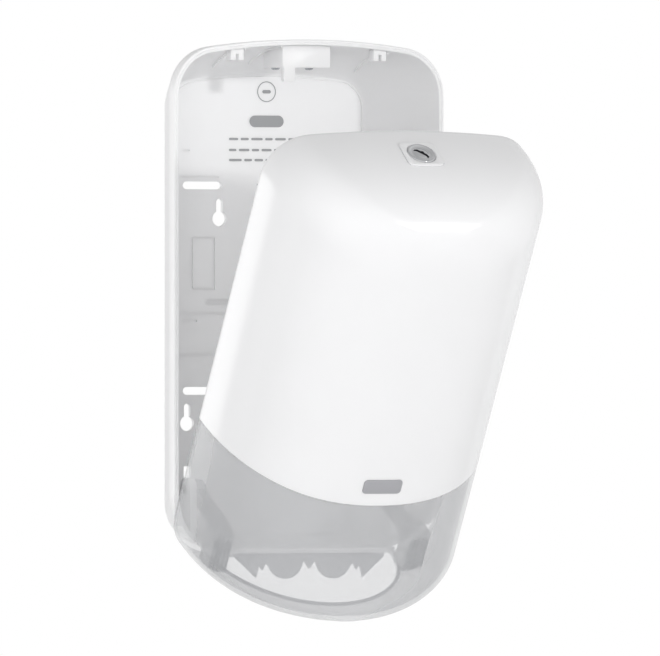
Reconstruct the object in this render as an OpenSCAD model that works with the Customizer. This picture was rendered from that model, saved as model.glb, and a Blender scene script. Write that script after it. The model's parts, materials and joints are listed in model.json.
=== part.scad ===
// Wall mounted washroom dispenser, shown with its front cover swung open on its stop.
// A back tray screws to the wall; a two-part cover hinges at the bottom and locks at the top.
// Axes: +X right, +Y into the wall (back face at y = 0), +Z up.
// Origin: midway between the two upper keyholes, on the wall face.

/* [Back tray] */
// Width over the front rim
tray_w = 193; // [180:1:235]
// Height over the front rim
tray_h = 331; // [320:1:400]
// Depth from the wall to the front rim
tray_d = 66.8; // [62:0.2:80]
// Thickness of the back wall
back_t = 3; // [2:0.2:4]
// Thickness of the leaning walls
side_t = 2.4; // [1.8:0.2:3.4]
// Width of the rim's front face
lip_w = 3.6; // [3:0.2:5]
// Depth of the straight flange behind the rim
flange_d = 9; // [6:0.5:12]
// How far each side wall leans in between rim and back wall
side_lean = 22.3; // [16:0.5:26]
// How far the top wall comes down between rim and back wall
top_lean = 16.4; // [12:0.5:20]
// How far the floor rises between rim and back wall
floor_lean = 5; // [2:0.5:8]
// Outer radius of the rim's top corners
rim_top_r = 31; // [26:1:40]
// Outer radius of the rim's bottom corners
rim_bottom_r = 39; // [34:1:44]
// Rise of the arched top edge
rim_rise = 9.7; // [6:0.1:12]
// Half width of the floor tongue that carries the comb
tongue_w = 60; // [57:1:62]

/* [Wall fixings] */
// Height of the upper keyhole heads above the rim's bottom
key_top_h = 216; // [210:1:224]
// Half spacing of the upper keyholes
key_top_x = 33.8; // [28:0.2:38]
// Height of the lower keyhole heads above the rim's bottom
key_low_h = 83.7; // [78:0.1:88]
// Half spacing of the lower keyholes
key_low_x = 56.9; // [52:0.1:60]
// Radius of a keyhole's head
key_head_r = 5; // [4:0.1:5.4]
// Radius of a keyhole's neck
key_neck_r = 2.3; // [2:0.1:2.6]
// Rise from a keyhole's head centre to its neck centre
key_rise = 10.6; // [9:0.1:12]
// Length of a horizontal screw slot
slot_l = 28; // [22:1:30]
// Height of a horizontal screw slot
slot_w = 5; // [4:0.1:5.4]
// Height of the upper slots above the rim's bottom
slot_top_h = 237.4; // [235:0.1:244]
// Height of the lower slots above the rim's bottom
slot_low_h = 104.7; // [104:0.1:110]
// Half spacing of the slot centres
slot_x = 46; // [40:0.5:48]

/* [Cover] */
// Step from the tray's side in to the cover's side
cover_inset = 1.8; // [1:0.2:4]
// Depth of the cover from rear edge to front
cover_d = 85.7; // [75:0.5:104]
// Gap below the closed cover, above the rim's bottom
cover_low = 8.4; // [6:0.2:12]
// Gap above the closed cover, below the rim's top
cover_gap_top = 6.5; // [4:0.5:12]
// Wall thickness of both cover mouldings
cover_t = 2.5; // [2:0.1:3.2]
// Corner radius of the cover
cover_r = 30; // [26:1:36]
// Rise of the cover's arched ends
cover_rise = 6; // [4:0.5:9]
// Drop of the top surface from rear edge to front
nose_drop = 55; // [40:1:70]
// Height of the window's edge at the middle, above the rim's bottom
seam_h = 98; // [88:1:110]
// How much higher the window's edge is at the sides
seam_rise = 16; // [8:1:24]
// Half width of the paper outlet
outlet_x = 66; // [62:0.5:68]
// Depth of the paper outlet from the rear edge
outlet_d = 62.5; // [50:0.5:66]

/* [Hinge] */
// Angle of the open cover
open_angle = 30; // [20:1:34]
// Distance of the hinge axis from the wall
pivot_y = 36; // [33:0.5:39]
// Height of the hinge axis above the rim's bottom
pivot_h = 41; // [38:0.5:45]
// Gap between the tray's rim and the closed cover
rim_gap = 0.5; // [0.4:0.1:1]
// Radius of the hinge pins
pin_r = 3; // [2.4:0.1:3.6]
// Radial clearance of a pin in its arm
pin_fit = 0.05; // [0.03:0.01:0.1]
// Inner face of each hinge arm
arm_x = 63; // [62:0.5:65]
// Thickness of each arm bar
arm_t = 6; // [5:0.5:7]
// Width of each arm's foot
foot_w = 14; // [11:0.5:15]
// Thickness of the tray's hinge ears
ear_t = 5; // [4:0.5:6]

/* [Lock] */
// Distance of the lock from the cover's rear edge
lock_q = 28; // [26:0.5:30]
// Lean of the lock to match the sloping top
lock_tilt = 8; // [5:0.5:10]
// Radius of the key plug
plug_r = 9.35; // [8.5:0.05:9.6]
// Radial clearance of the plug in its barrel
plug_fit = 0.05; // [0.03:0.01:0.1]
// Sideways travel of the latch
latch_travel = 7; // [6:0.1:7.5]
// Thickness of the latch plate
latch_t = 3; // [2.4:0.1:3.2]
// Clearance around the sliding latch
latch_fit = 0.35; // [0.3:0.05:0.5]

/* [Tear comb] */
// Half width of the comb's top edge
comb_w = 53; // [46:0.5:56]
// Thickness of the comb
comb_t = 2; // [1.6:0.1:2.4]
// Depth of the comb's mounting flange
comb_flange = 13; // [11:0.5:15]

/* [Hidden] */
$fn = 48;

corner_n = 9;                       // steps round an outline's corner
arch_n = 5;                         // steps along half an arched end
loft_n = 13;                        // steps from rear edge to front of the cover
tray_n = 7;                         // steps from back wall to rim
over = 1;                           // overshoot of a cutting solid
reach = tray_d + rim_gap - pivot_y; // hinge axis to the cover's rear edge
cover_top = tray_h - cover_gap_top;
rim_a = tray_w / 2;
cover_w = tray_w - 2 * cover_inset; // cover's width at its rear edge
cover_a = cover_w / 2;
lip_line = 0.5;                     // groove in the rim's face
side_pow = 2.55;                    // roundness of the cover's plan
top_pow = 2.5;                      // roundness of the cover's nose
floor_pow = 4.5;                    // roundness of the cover's lower edge
floor_rise = 6;                     // rise of the lower edge at the front
swing_gap = 1;                      // clearance of the tray behind the swinging cover
keeper_x = 17;                      // half width of the keeper
keeper_low = tray_h - 18;           // underside of the keeper
keeper_front = tray_d - 4.8;        // front of the keeper, from the wall
keeper_len = 28;
post_l = 9;                         // drop of the keeper's post
screw_r = 1.5;
screw_head_r = 2.8;
screw_head_h = 1.3;
screw_fit = 0.1;
cam_e = latch_travel / sqrt(2);     // throw of the cam pin, over a quarter turn
cam_pin_r = 2;
latch_x = latch_travel / 2;         // latch's middle when unlocked
// Levels of the lock along its own axis, from the cover's surface down
z_neck = -0.6;
z_box = -10;
z_cam = -13.2;
cam_t = 2;
z_latch = -17.5;
z_base = z_latch - latch_t - latch_fit;
base_t = 2;
barrel_r = 12;
neck_r = plug_r + plug_fit + 1.1;
lock_x = 26;                        // half width of the lock housing
lock_y = 14;                        // half depth of the lock housing
plate_x = 13;                       // half width of the latch plate
plate_y = 10;                       // half depth of the latch plate
stem_y = 42;                        // reach of the latch behind the lock
hook_t = 5;                         // thickness of the hook
lock_screw_x = 22.5;
lock_screw_y = 9;
bezel_x = 25;
bezel_y = 24;
bezel_r = 4;
bezel_top = 0.8;

// ---------- frames ----------
// Tray frame: heights count from the rim's bottom
module in_tray() { translate([0, 0, -key_top_h]) children(); }

// Cover frame: heights and depths of the closed cover, swung open about the hinge
module in_cover() {
    in_tray() translate([0, -pivot_y, pivot_h]) rotate([open_angle, 0, 0])
        translate([0, pivot_y, -pivot_h]) children();
}

// Lock frame: origin on the cover's top surface, z out along the plug
module in_lock() {
    in_cover() translate([0, -lock_front, lock_h]) rotate([lock_tilt, 0, 0]) children();
}

// ---------- outlines and lofts ----------
function arch_r(a, rise) = (a * a + rise * rise) / (2 * rise);

// From the side up to the middle of an arched end whose apex is at height 0
function quarter(a, r, rise) = let (
    big = arch_r(a, rise),
    cz = sqrt((big - r) * (big - r) - (a - r) * (a - r)) - big,
    turn = atan2(cz + big, a - r))
    concat(
        [for (i = [0:corner_n]) let (t = turn * i / corner_n) [a - r + r * cos(t), cz + r * sin(t)]],
        [for (i = [1:arch_n]) let (t = turn + (90 - turn) * i / arch_n) [big * cos(t), big * sin(t) - big]]);

// Rounded panel outline: half width a, apex heights, corner radii and rises at top and bottom
function outline(a, top, low, rt, rb, st, sb) = let (
    u = quarter(a, rt, st), d = quarter(a, rb, sb), n = len(u))
    concat(
        [for (p = u) [p.x, top + p.y]],
        [for (i = [n - 2:-1:0]) [-u[i].x, top + u[i].y]],
        [for (p = d) [-p.x, low - p.y]],
        [for (i = [n - 2:-1:0]) [d[i].x, low - d[i].y]]);

// Closed solid through rings of [distance from the wall, outline]
module loft(rings) {
    n = len(rings[0][1]);
    last = len(rings) - 1;
    polyhedron(
        points = [for (r = rings) for (p = r[1]) [p.x, -r[0], p.y]],
        faces = concat(
            [[for (i = [0:n - 1]) i]],
            [for (k = [0:last - 1]) for (i = [0:n - 1]) [k * n + i, (k + 1) * n + i, k * n + (i + 1) % n]],
            [for (k = [0:last - 1]) for (i = [0:n - 1])
                [k * n + (i + 1) % n, (k + 1) * n + i, (k + 1) * n + (i + 1) % n]],
            [[for (i = [n - 1:-1:0]) last * n + i]]));
}

// ---------- tray shape ----------
bottom_rise = 0.8;
// Outline of the tray's cavity at share u of its depth, grown outwards by g
function tray_ring(u, g) = let (
    up = 1 - pow(max(1 - u, 0), 2.6), down = pow(max(1 - u, 0), 2))
    outline(rim_a - lip_w - side_lean * (1 - u) + g,
        tray_h - lip_w - top_lean * (1 - up) + g, lip_w + floor_lean * down - g,
        rim_top_r - lip_w - 8 * (1 - u) + g, rim_bottom_r - lip_w - 12 * (1 - u) + g,
        rim_rise * (0.7 + 0.3 * u), bottom_rise);

module tray_cavity(g = 0) {
    loft(concat([for (i = [0:tray_n]) let (u = i / tray_n) [back_t + (tray_d - back_t) * u, tray_ring(u, g)]],
        [[tray_d + over, tray_ring(1, g)]]));
}

module tray_outer() {
    loft(concat([[0, tray_ring(0, side_t - 1)]],
        [for (i = [0:tray_n]) let (u = i / tray_n)
            [back_t + (tray_d - back_t) * u, tray_ring(u, u < 1 ? side_t : lip_w)]]));
}

// A cut or bar through the back wall
module through_back(depth = back_t) { rotate([90, 0, 0]) translate([0, 0, -over]) linear_extrude(depth + over) children(); }

module keyhole(x, h) {
    translate([x, over, h]) rotate([90, 0, 0]) cylinder(r = key_head_r, h = back_t + 2 * over);
    translate([x, over, h + key_rise]) rotate([90, 0, 0]) cylinder(r = key_neck_r, h = back_t + 2 * over);
    translate([x - key_neck_r, -back_t - over, h]) cube([2 * key_neck_r, back_t + 2 * over, key_rise]);
}

module screw_slot(x, h) {
    half = slot_l / 2 - slot_w / 2;
    for (s = [-1, 1]) translate([x + s * half, over, h]) rotate([90, 0, 0])
        cylinder(r = slot_w / 2, h = back_t + 2 * over);
    translate([x - half, -back_t - over, h - slot_w / 2]) cube([2 * half, back_t + 2 * over, slot_w]);
}

// Shallow moulded line on the back wall's inner face
line_t = 0.5;
module line_x(x0, x1, h, t = 1) { translate([x0, -back_t - over, h - t / 2]) cube([x1 - x0, over + line_t, t]); }
module line_z(x, h0, h1, t = 1) { translate([x - t / 2, -back_t - over, h0]) cube([t, over + line_t, h1 - h0]); }

// Windows for cable ties near the lower corners
tie_x = 56.8;
tie_w = 5.2;
tie_h0 = 40;
tie_l = 16;

// Space that the lower corners of the cover sweep through
module swing_relief() {
    for (s = [0, 1]) mirror([s, 0, 0]) difference() {
        translate([tongue_w + swing_gap, -tray_d - over, -over])
            cube([rim_a, tray_d + over - pivot_y, pivot_h - 2]);
        translate([0, -pivot_y, pivot_h]) rotate([0, 90, 0]) cylinder(r = reach - swing_gap, h = tray_w, $fn = 96);
        translate([0, -pivot_y, pivot_h]) rotate([open_angle, 0, 0])
            translate([0, -reach + swing_gap, -2 * reach]) cube([tray_w, 2 * tray_d, 2 * reach]);
    }
}

// Hinge ear standing on the tray's floor
ear_x = arm_x + arm_t + 0.4;
ear_r = 8;
module hinge_ear() {
    translate([ear_x, -pivot_y, pivot_h]) rotate([0, 90, 0]) cylinder(r = ear_r, h = ear_t);
    intersection() {
        tray_cavity(side_t / 2);
        translate([ear_x, -pivot_y - ear_r, 0]) cube([ear_t, 2 * ear_r, pivot_h]);
    }
}

module rear_housing() {
    color("white") in_tray() difference() {
        union() {
            difference() {
                union() {
                    tray_outer();
                    loft([for (d = [tray_d - flange_d, tray_d]) [d, tray_ring(1, lip_w)]]);
                }
                tray_cavity();
            }
            for (s = [0, 1]) mirror([s, 0, 0]) hinge_ear();
        }
        swing_relief();
        for (s = [0, 1]) mirror([s, 0, 0]) {
            keyhole(key_top_x, key_top_h);
            keyhole(key_low_x, key_low_h);
            screw_slot(slot_x, slot_top_h);
            screw_slot(slot_x, slot_low_h);
            translate([tie_x - tie_w / 2, -back_t - over, tie_h0]) cube([tie_w, back_t + 2 * over, tie_l]);
            translate([0, -pivot_y, pivot_h]) rotate([0, 90, 0]) cylinder(r = pin_r, h = ear_x + ear_t + over);
            line_x(37, 53.6, 170.5);
            line_x(37, 53.6, 203.5);
            line_z(37, 170, 204);
            line_z(53.6, 170, 204);
            line_x(34, 62, 243);
            line_x(50, 60, 150);
        }
        for (h = [128, 154.7]) line_x(-64, 64, h);
        for (h = [161, 163.4]) line_x(-43.5, 43.5, h, 0.8);
        comb_holes();
        keeper_holes(screw_r);
        rim_groove();
    }
}

// Fine groove round the rim's front face
module rim_groove() {
    translate([0, -tray_d + lip_line, 0]) rotate([90, 0, 0]) linear_extrude(over + lip_line) difference() {
        polygon(tray_ring(1, lip_w * 0.62));
        polygon(tray_ring(1, lip_w * 0.4));
    }
}

// ---------- keeper and guides ----------
keeper_screw_x = 12;
keeper_screw_y = keeper_front - keeper_len + 7;
module keeper_holes(r) {
    for (s = [-1, 1]) translate([s * keeper_screw_x, -keeper_screw_y, keeper_low - over])
        cylinder(r = r + screw_fit, h = keeper_tip - keeper_low + over);
}
keeper_tip = tray_h - lip_w - 0.4;

module latch_keeper() {
    color("gainsboro") in_tray() difference() {
        union() {
            intersection() {
                tray_cavity();
                translate([-keeper_x, -keeper_front, keeper_low]) cube([2 * keeper_x, keeper_len, 2 * top_lean]);
            }
            // post that the latch hooks behind
            translate([-post_x1, -keeper_front, keeper_low - post_l]) cube([post_x1 - post_x0, post_t, post_l]);
        }
        keeper_holes(screw_r);
        // hollow between the keeper's cheeks
        translate([-7, -keeper_front + 6, keeper_low - over]) cube([14, keeper_len - 10, 5 + over]);
    }
}
post_x0 = plate_x - 5;
post_x1 = keeper_x - 1;
post_t = 3.8;

module keeper_screws() {
    color("silver") in_tray() for (s = [-1, 1]) translate([s * keeper_screw_x, -keeper_screw_y, keeper_low]) {
        translate([0, 0, -screw_head_h]) cylinder(r = screw_head_r, h = screw_head_h);
        cylinder(r = screw_r, h = keeper_tip - keeper_low - 0.4);
    }
}

guide_x = 51;
guide_w = 9;
guide_l = 8;
guide_h = 7;
module guide_block() {
    color("gainsboro") in_tray() intersection() {
        tray_cavity();
        difference() {
            translate([guide_x - guide_w / 2, -tray_d + 0.8, tray_h - 13.7]) cube([guide_w, guide_l, 2 * guide_h]);
            // saw cut that lets the block spring
            translate([guide_x - 1, -tray_d, tray_h - 13.7 - over]) cube([2, guide_l - 2, 4 + over]);
        }
    }
}
module guide_block_left() { mirror([1, 0, 0]) guide_block(); }
module guide_block_right() { guide_block(); }

// ---------- tear comb ----------
comb_tooth_z = -15;
lobe_x = 17.2;
lobe_r = 12.5;
lobe_z = -3.5;
// Right half of the toothed edge, from the middle tooth outwards
function comb_edge() = concat(
    [[0, -9.5], [2.6, -6], [4.7, -4.4]],
    [for (i = [0:12]) let (t = 185 + 150 * i / 12) [lobe_x + lobe_r * cos(t), lobe_z + lobe_r * sin(t)]],
    [[31, -5.5], [33.6, -10.4], [36, -7], [38.2, comb_tooth_z], [comb_w, -comb_t]]);

module comb_holes() {
    for (x = comb_screws_x) translate([x, -tray_d + comb_flange / 2 + comb_t / 2, -comb_t - over])
        cylinder(r = screw_r + screw_fit, h = comb_t + over + lip_w + 2);
}
comb_screws_x = [-38, 0, 38];

module tear_comb() {
    edge = comb_edge();
    n = len(edge);
    color("gainsboro") in_tray() difference() {
        union() {
            translate([0, -tray_d + comb_t, 0]) rotate([90, 0, 0]) linear_extrude(comb_t)
                polygon(concat([for (p = edge) p], [[comb_w, 0], [-comb_w, 0]],
                    [for (i = [n - 1:-1:1]) [-edge[i].x, edge[i].y]]));
            translate([-comb_w, -tray_d, -comb_t]) cube([2 * comb_w, comb_flange, comb_t]);
        }
        comb_holes();
    }
}

module comb_screws() {
    color("silver") in_tray() for (x = comb_screws_x)
        translate([x, -tray_d + comb_flange / 2 + comb_t / 2, -comb_t - screw_head_h]) {
            cylinder(r = screw_head_r, h = screw_head_h);
            cylinder(r = screw_r, h = screw_head_h + comb_t + lip_w);
        }
}

// ---------- hinge ----------
pin_head_r = 4.6;
pin_head_t = 1.8;
module hinge_pin() {
    color("silver") in_tray() translate([0, -pivot_y, pivot_h]) rotate([0, 90, 0]) {
        translate([0, 0, arm_x - 0.4 - pin_head_t]) cylinder(r = pin_head_r, h = pin_head_t);
        translate([0, 0, arm_x - 0.4]) cylinder(r = pin_r, h = ear_x + ear_t - arm_x + 0.4);
    }
}
module hinge_pin_left() { mirror([1, 0, 0]) hinge_pin(); }
module hinge_pin_right() { hinge_pin(); }

foot_q0 = 13;       // foot of the arm, from the cover's rear edge
foot_l = 14;
eye_r = 7;
rib_n = 3;
arm_screw_x = arm_x + 4;
arm_screw_q = foot_q0 + foot_l / 2;
floor_bend = arch_r(cover_a, cover_rise);
arm_seat = cover_low + arm_screw_x * arm_screw_x / (2 * floor_bend) + 1.3;
module hinge_arm() {
    color("whitesmoke") in_cover() difference() {
        union() {
            intersection() {
                cover_cavity();
                translate([arm_x, -tray_d - rim_gap - foot_q0 - foot_l, 0]) cube([foot_w, foot_l, pivot_h + 2]);
            }
            translate([arm_x, -tray_d - rim_gap - foot_q0 - 1, pivot_h - eye_r + 1])
                cube([arm_t, reach + foot_q0 + 1, 2 * eye_r - 4]);
            translate([arm_x, -pivot_y, pivot_h]) rotate([0, 90, 0]) cylinder(r = eye_r, h = arm_t);
        }
        translate([0, -pivot_y, pivot_h]) rotate([0, 90, 0]) cylinder(r = pin_r + pin_fit, h = cover_w);
        arm_screw_hole();
        // ribbed front of the foot
        for (i = [1:rib_n]) translate([arm_x + foot_w * i / (rib_n + 1) - 0.9,
            -tray_d - rim_gap - foot_q0 - foot_l - over, cover_low]) cube([1.8, over + 2, pivot_h]);
    }
}
module arm_screw_hole() {
    translate([arm_screw_x, -tray_d - rim_gap - arm_screw_q, cover_low - over]) {
        cylinder(r = screw_r + screw_fit, h = 18 + over);
        cylinder(r = screw_head_r + screw_fit, h = arm_seat - cover_low + over);
    }
}
module hinge_arm_left() { mirror([1, 0, 0]) hinge_arm(); }
module hinge_arm_right() { hinge_arm(); }

module arm_screws() {
    color("silver") in_cover() for (s = [-1, 1])
        translate([s * arm_screw_x, -tray_d - rim_gap - arm_screw_q, arm_seat]) {
            translate([0, 0, -screw_head_h + 0.2]) cylinder(r = screw_head_r, h = screw_head_h - 0.2);
            cylinder(r = screw_r, h = 12);
        }
}

// ---------- cover ----------
// How far a rounded end has fallen at depth q of d, as a share
function fall(q, d, m) = 1 - pow(max(1 - pow(max(q, 0) / d, m), 0), 1 / m);

// Outline of the cover at depth q, moved inwards by t
function cover_ring(q, t) = let (
    d = cover_d - t,
    a = max((cover_a - t) * (1 - fall(q, d, side_pow)), 2),
    r = min(cover_r - t, a * 0.9),
    rise = max(cover_rise * pow(a / cover_a, 2), 0.05))
    outline(a, cover_top - t - nose_drop * fall(q, d, top_pow),
        cover_low + t + floor_rise * fall(q, d, floor_pow), r, r, rise, rise);

module cover_solid(t, back) {
    rear = tray_d + rim_gap;
    loft(concat(back > 0 ? [[rear - back, cover_ring(0, t)]] : [],
        [for (i = [0:loft_n]) let (q = (cover_d - t) * sin(90 * i / loft_n)) [rear + q, cover_ring(q, t)]]));
}
module cover_cavity() { cover_solid(cover_t, over); }

// Everything above the window's arched edge
seam_n = 16;
module above_seam() {
    translate([0, -tray_d + over, 0]) rotate([90, 0, 0]) linear_extrude(cover_d + 3 * over)
        polygon(concat([[-cover_w, 2 * tray_h], [-cover_w, seam_h + 4 * seam_rise]],
            [for (i = [-seam_n:seam_n]) let (x = i / seam_n) [x * (cover_a + over), seam_h + seam_rise * x * x]],
            [[cover_w, seam_h + 4 * seam_rise], [cover_w, 2 * tray_h]]));
}

module cover_skin() {
    difference() {
        cover_solid(0, 0);
        cover_cavity();
    }
}

badge_w = 27;
badge_h = 10;
badge_z = seam_h + 14;
badge_in = 0.7;
badge_out = 0.4;
module badge_block(g) {
    r = badge_h / 4;
    translate([0, -tray_d - rim_gap - cover_d + badge_in, badge_z]) rotate([90, 0, 0])
        linear_extrude(badge_in + badge_out) union() {
            square([badge_w - 2 * r + 2 * g, badge_h + 2 * g], center = true);
            square([badge_w + 2 * g, badge_h - 2 * r + 2 * g], center = true);
            for (sx = [-1, 1], sy = [-1, 1]) translate([sx * (badge_w / 2 - r), sy * (badge_h / 2 - r)])
                circle(r = r + g);
        }
}
module badge() { color("darkgray") in_cover() badge_block(0); }

module cover_shell() {
    color("white") difference() {
        union() {
            in_cover() intersection() {
                cover_skin();
                above_seam();
            }
            // screw bosses for the lock
            in_lock() for (s = [-1, 1]) translate([s * lock_screw_x, lock_screw_y, z_box]) cylinder(r = 3.2, h = -z_box - 1.5);
        }
        in_cover() badge_block(0);
        in_lock() {
            translate([0, 0, z_box]) cylinder(r = neck_r + 0.15, h = -z_box + 4);
            translate([0, 0, z_neck]) linear_extrude(4) bezel_plan(0.1);
            lock_screw_holes();
        }
    }
}

module window_shell() {
    color("lightgray", 0.6) in_cover() difference() {
        cover_skin();
        above_seam();
        // half-oval paper outlet in the floor
        translate([0, -tray_d - rim_gap, -over]) linear_extrude(cover_low + cover_t + cover_rise + floor_rise)
            polygon(concat([[outlet_x, over], [-outlet_x, over]],
                [for (i = [24:-1:0]) let (t = 180 * i / 24) [outlet_x * cos(t), -outlet_d * sin(t)]]));
        for (s = [0, 1]) mirror([s, 0, 0]) arm_screw_hole();
    }
}

// Clips that bridge the seam inside the cover
clip_h = 16;
clip_w = 14;
clip_t = 3;
module window_clips() {
    color("whitesmoke") in_cover() intersection() {
        cover_cavity();
        union() {
            for (s = [0, 1]) mirror([s, 0, 0]) for (q = [8, 34])
                translate([cover_a - cover_t - clip_t - (q > 20 ? 5 : 0), -tray_d - rim_gap - q - clip_w,
                    seam_h + seam_rise - clip_h / 2 - (q > 20 ? 1 : 0)]) cube([3 * clip_t, clip_w, clip_h]);
            for (x = [-30, 30]) translate([x - clip_w / 2, -tray_d - rim_gap - cover_d - 1, seam_h + 1.6 - clip_h / 2])
                cube([clip_w, clip_t + cover_t + 3, clip_h]);
        }
    }
}

// ---------- lock ----------
lock_front = tray_d + rim_gap + lock_q;
lock_h = cover_top - nose_drop * fall(lock_q, cover_d, top_pow);

module bezel_plan(g) {
    square([bezel_x - 2 * bezel_r + 2 * g, bezel_y + 2 * g], center = true);
    square([bezel_x + 2 * g, bezel_y - 2 * bezel_r + 2 * g], center = true);
    for (sx = [-1, 1], sy = [-1, 1])
        translate([sx * (bezel_x / 2 - bezel_r), sy * (bezel_y / 2 - bezel_r)]) circle(r = bezel_r + g);
}
module lock_bezel() {
    color("gainsboro") in_lock() difference() {
        translate([0, 0, z_neck]) linear_extrude(bezel_top - z_neck) bezel_plan(0);
        translate([0, 0, z_neck - over]) cylinder(r = plug_r + 0.35, h = 4);
    }
}

module lock_screw_holes() {
    for (s = [-1, 1]) translate([s * lock_screw_x, lock_screw_y, z_base - base_t - over])
        cylinder(r = screw_r + screw_fit, h = -z_base + base_t + over - 3);
}

module lock_housing() {
    color("whitesmoke") in_lock() difference() {
        union() {
            translate([0, 0, z_box]) cylinder(r = neck_r, h = z_neck - z_box);
            translate([0, 0, z_box]) cylinder(r = barrel_r, h = -z_box - 5.5);
            translate([-lock_x, -lock_y, z_base]) cube([2 * lock_x, 2 * lock_y, z_box - z_base]);
        }
        translate([0, 0, z_base - over]) cylinder(r = plug_r + plug_fit, h = -z_base + 2 * over);
        // room for the latch plate and its spring
        translate([-plate_x - latch_x - 0.6, -plate_y - latch_fit, z_base - over])
            cube([plate_x + latch_x + 0.6 + lock_x - 7.5, 2 * (plate_y + latch_fit), latch_t + 2 * latch_fit + over]);
        translate([0, -spring_r - 1, z_base - over]) cube([lock_x - 2, 2 * spring_r + 2, latch_t + 2 * latch_fit + over + 3]);
        // doorway for the latch stem
        translate([-3 - latch_x - 0.8, 0, z_base - over])
            cube([8 + latch_travel + 1.6, lock_y + over, latch_t + 2 * latch_fit + over]);
        lock_screw_holes();
    }
}

module lock_base() {
    color("gainsboro") in_lock() difference() {
        translate([-lock_x, -lock_y, z_base - base_t]) cube([2 * lock_x, 2 * lock_y, base_t]);
        lock_screw_holes();
    }
}

module lock_screws() {
    color("silver") in_lock() for (s = [-1, 1]) translate([s * lock_screw_x, lock_screw_y, z_base - base_t]) {
        translate([0, 0, -screw_head_h]) cylinder(r = screw_head_r, h = screw_head_h);
        cylinder(r = screw_r, h = -z_base + base_t - 4);
    }
}

plug_low = z_cam + 0.2;
module key_plug() {
    color("silver") in_lock() difference() {
        translate([0, 0, plug_low]) cylinder(r = plug_r, h = bezel_top + 0.4 - plug_low);
        // dished face with the key slot
        translate([0, 0, bezel_top - 0.2]) cylinder(r = plug_r - 2.2, h = over);
        rotate([0, 0, 45]) translate([-1.3, -4.5, -6]) cube([2.6, 9, 6 + 2 * over]);
        translate([0, 0, plug_low - over]) cylinder(r = screw_r, h = 5 + over);
    }
}

module lock_cam() {
    color("gray") in_lock() {
        difference() {
            translate([0, 0, plug_low - cam_t]) cylinder(r = plug_r - 0.7, h = cam_t);
            translate([0, 0, plug_low - cam_t - over]) cylinder(r = screw_r, h = cam_t + 2 * over);
        }
        rotate([0, 0, 45]) translate([0, -cam_e, z_latch - latch_t + 0.2])
            cylinder(r = cam_pin_r, h = plug_low - cam_t / 2 - z_latch + latch_t - 0.2);
    }
}

module cam_screw() {
    color("silver") in_lock() {
        translate([0, 0, plug_low - cam_t - screw_head_h]) cylinder(r = screw_head_r - 0.6, h = screw_head_h);
        translate([0, 0, plug_low - cam_t]) cylinder(r = screw_r, h = cam_t + 4);
    }
}

spring_r = 2.1;
spring_up = 0.9;                    // spring's axis above the plate's middle
wire_r = 0.35;
peg_r = 1.4;
spring_l = 5.2;
coils = 4;
module latch_slide() {
    color("lightsteelblue") in_lock() difference() {
        translate([latch_x, 0, z_latch - latch_t]) union() {
            translate([-plate_x, -plate_y, 0]) cube([2 * plate_x, 2 * plate_y, latch_t]);
            translate([-3, 0, 0]) cube([8, stem_y, latch_t]);
            translate([-9, stem_y - hook_t, 0]) cube([14, hook_t, latch_t]);
            translate([plate_x - over, 0, latch_t / 2 + spring_up]) rotate([0, 90, 0]) cylinder(r = peg_r, h = over + 3);
        }
        // slot for the cam pin
        translate([latch_x - cam_pin_r - 0.45, -cam_e - cam_pin_r - 0.5, z_latch - latch_t - over])
            cube([2 * (cam_pin_r + 0.45), cam_e * (1 - cos(45)) + 2 * cam_pin_r + 1, latch_t + 2 * over]);
    }
}

// Coil spring pushing the latch towards the post
module latch_spring() {
    sides = 6;
    turn_n = 14;
    rings = coils * turn_n;
    pts = [for (k = [0:rings]) let (t = 360 * k / turn_n) for (i = [0:sides - 1])
        let (r = spring_r + wire_r * cos(360 * i / sides))
        [wire_r + (spring_l - 2 * wire_r) * k / rings + wire_r * sin(360 * i / sides), r * cos(t), r * sin(t)]];
    color("silver") in_lock() translate([latch_x + plate_x, 0, z_latch - latch_t / 2 + spring_up])
        polyhedron(points = pts, faces = concat(
            [[for (i = [sides - 1:-1:0]) i]],
            [for (k = [0:rings - 1]) for (i = [0:sides - 1])
                [k * sides + i, k * sides + (i + 1) % sides, (k + 1) * sides + i]],
            [for (k = [0:rings - 1]) for (i = [0:sides - 1])
                [k * sides + (i + 1) % sides, (k + 1) * sides + (i + 1) % sides, (k + 1) * sides + i]],
            [[for (i = [0:sides - 1]) rings * sides + i]]));
}

rear_housing();
latch_keeper();
keeper_screws();
guide_block_left();
guide_block_right();
tear_comb();
comb_screws();
hinge_pin_left();
hinge_pin_right();
cover_shell();
window_shell();
window_clips();
hinge_arm_left();
hinge_arm_right();
arm_screws();
badge();
lock_bezel();
lock_housing();
lock_base();
lock_screws();
key_plug();
lock_cam();
cam_screw();
latch_slide();
latch_spring();
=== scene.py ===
"""Wall mounted washroom dispenser with its cover swung open: its looks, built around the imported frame.

Lengths in the dataclasses are millimetres, and heights count from the bottom of the tray's rim. Everything is
turned to metres in the frame's own axes when a mesh is made: +X right, +Y into the wall, +Z up.
"""

import logging
import math
import random
from dataclasses import dataclass, field
from enum import Enum
from typing import Callable, Iterable, Optional, Sequence

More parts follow.
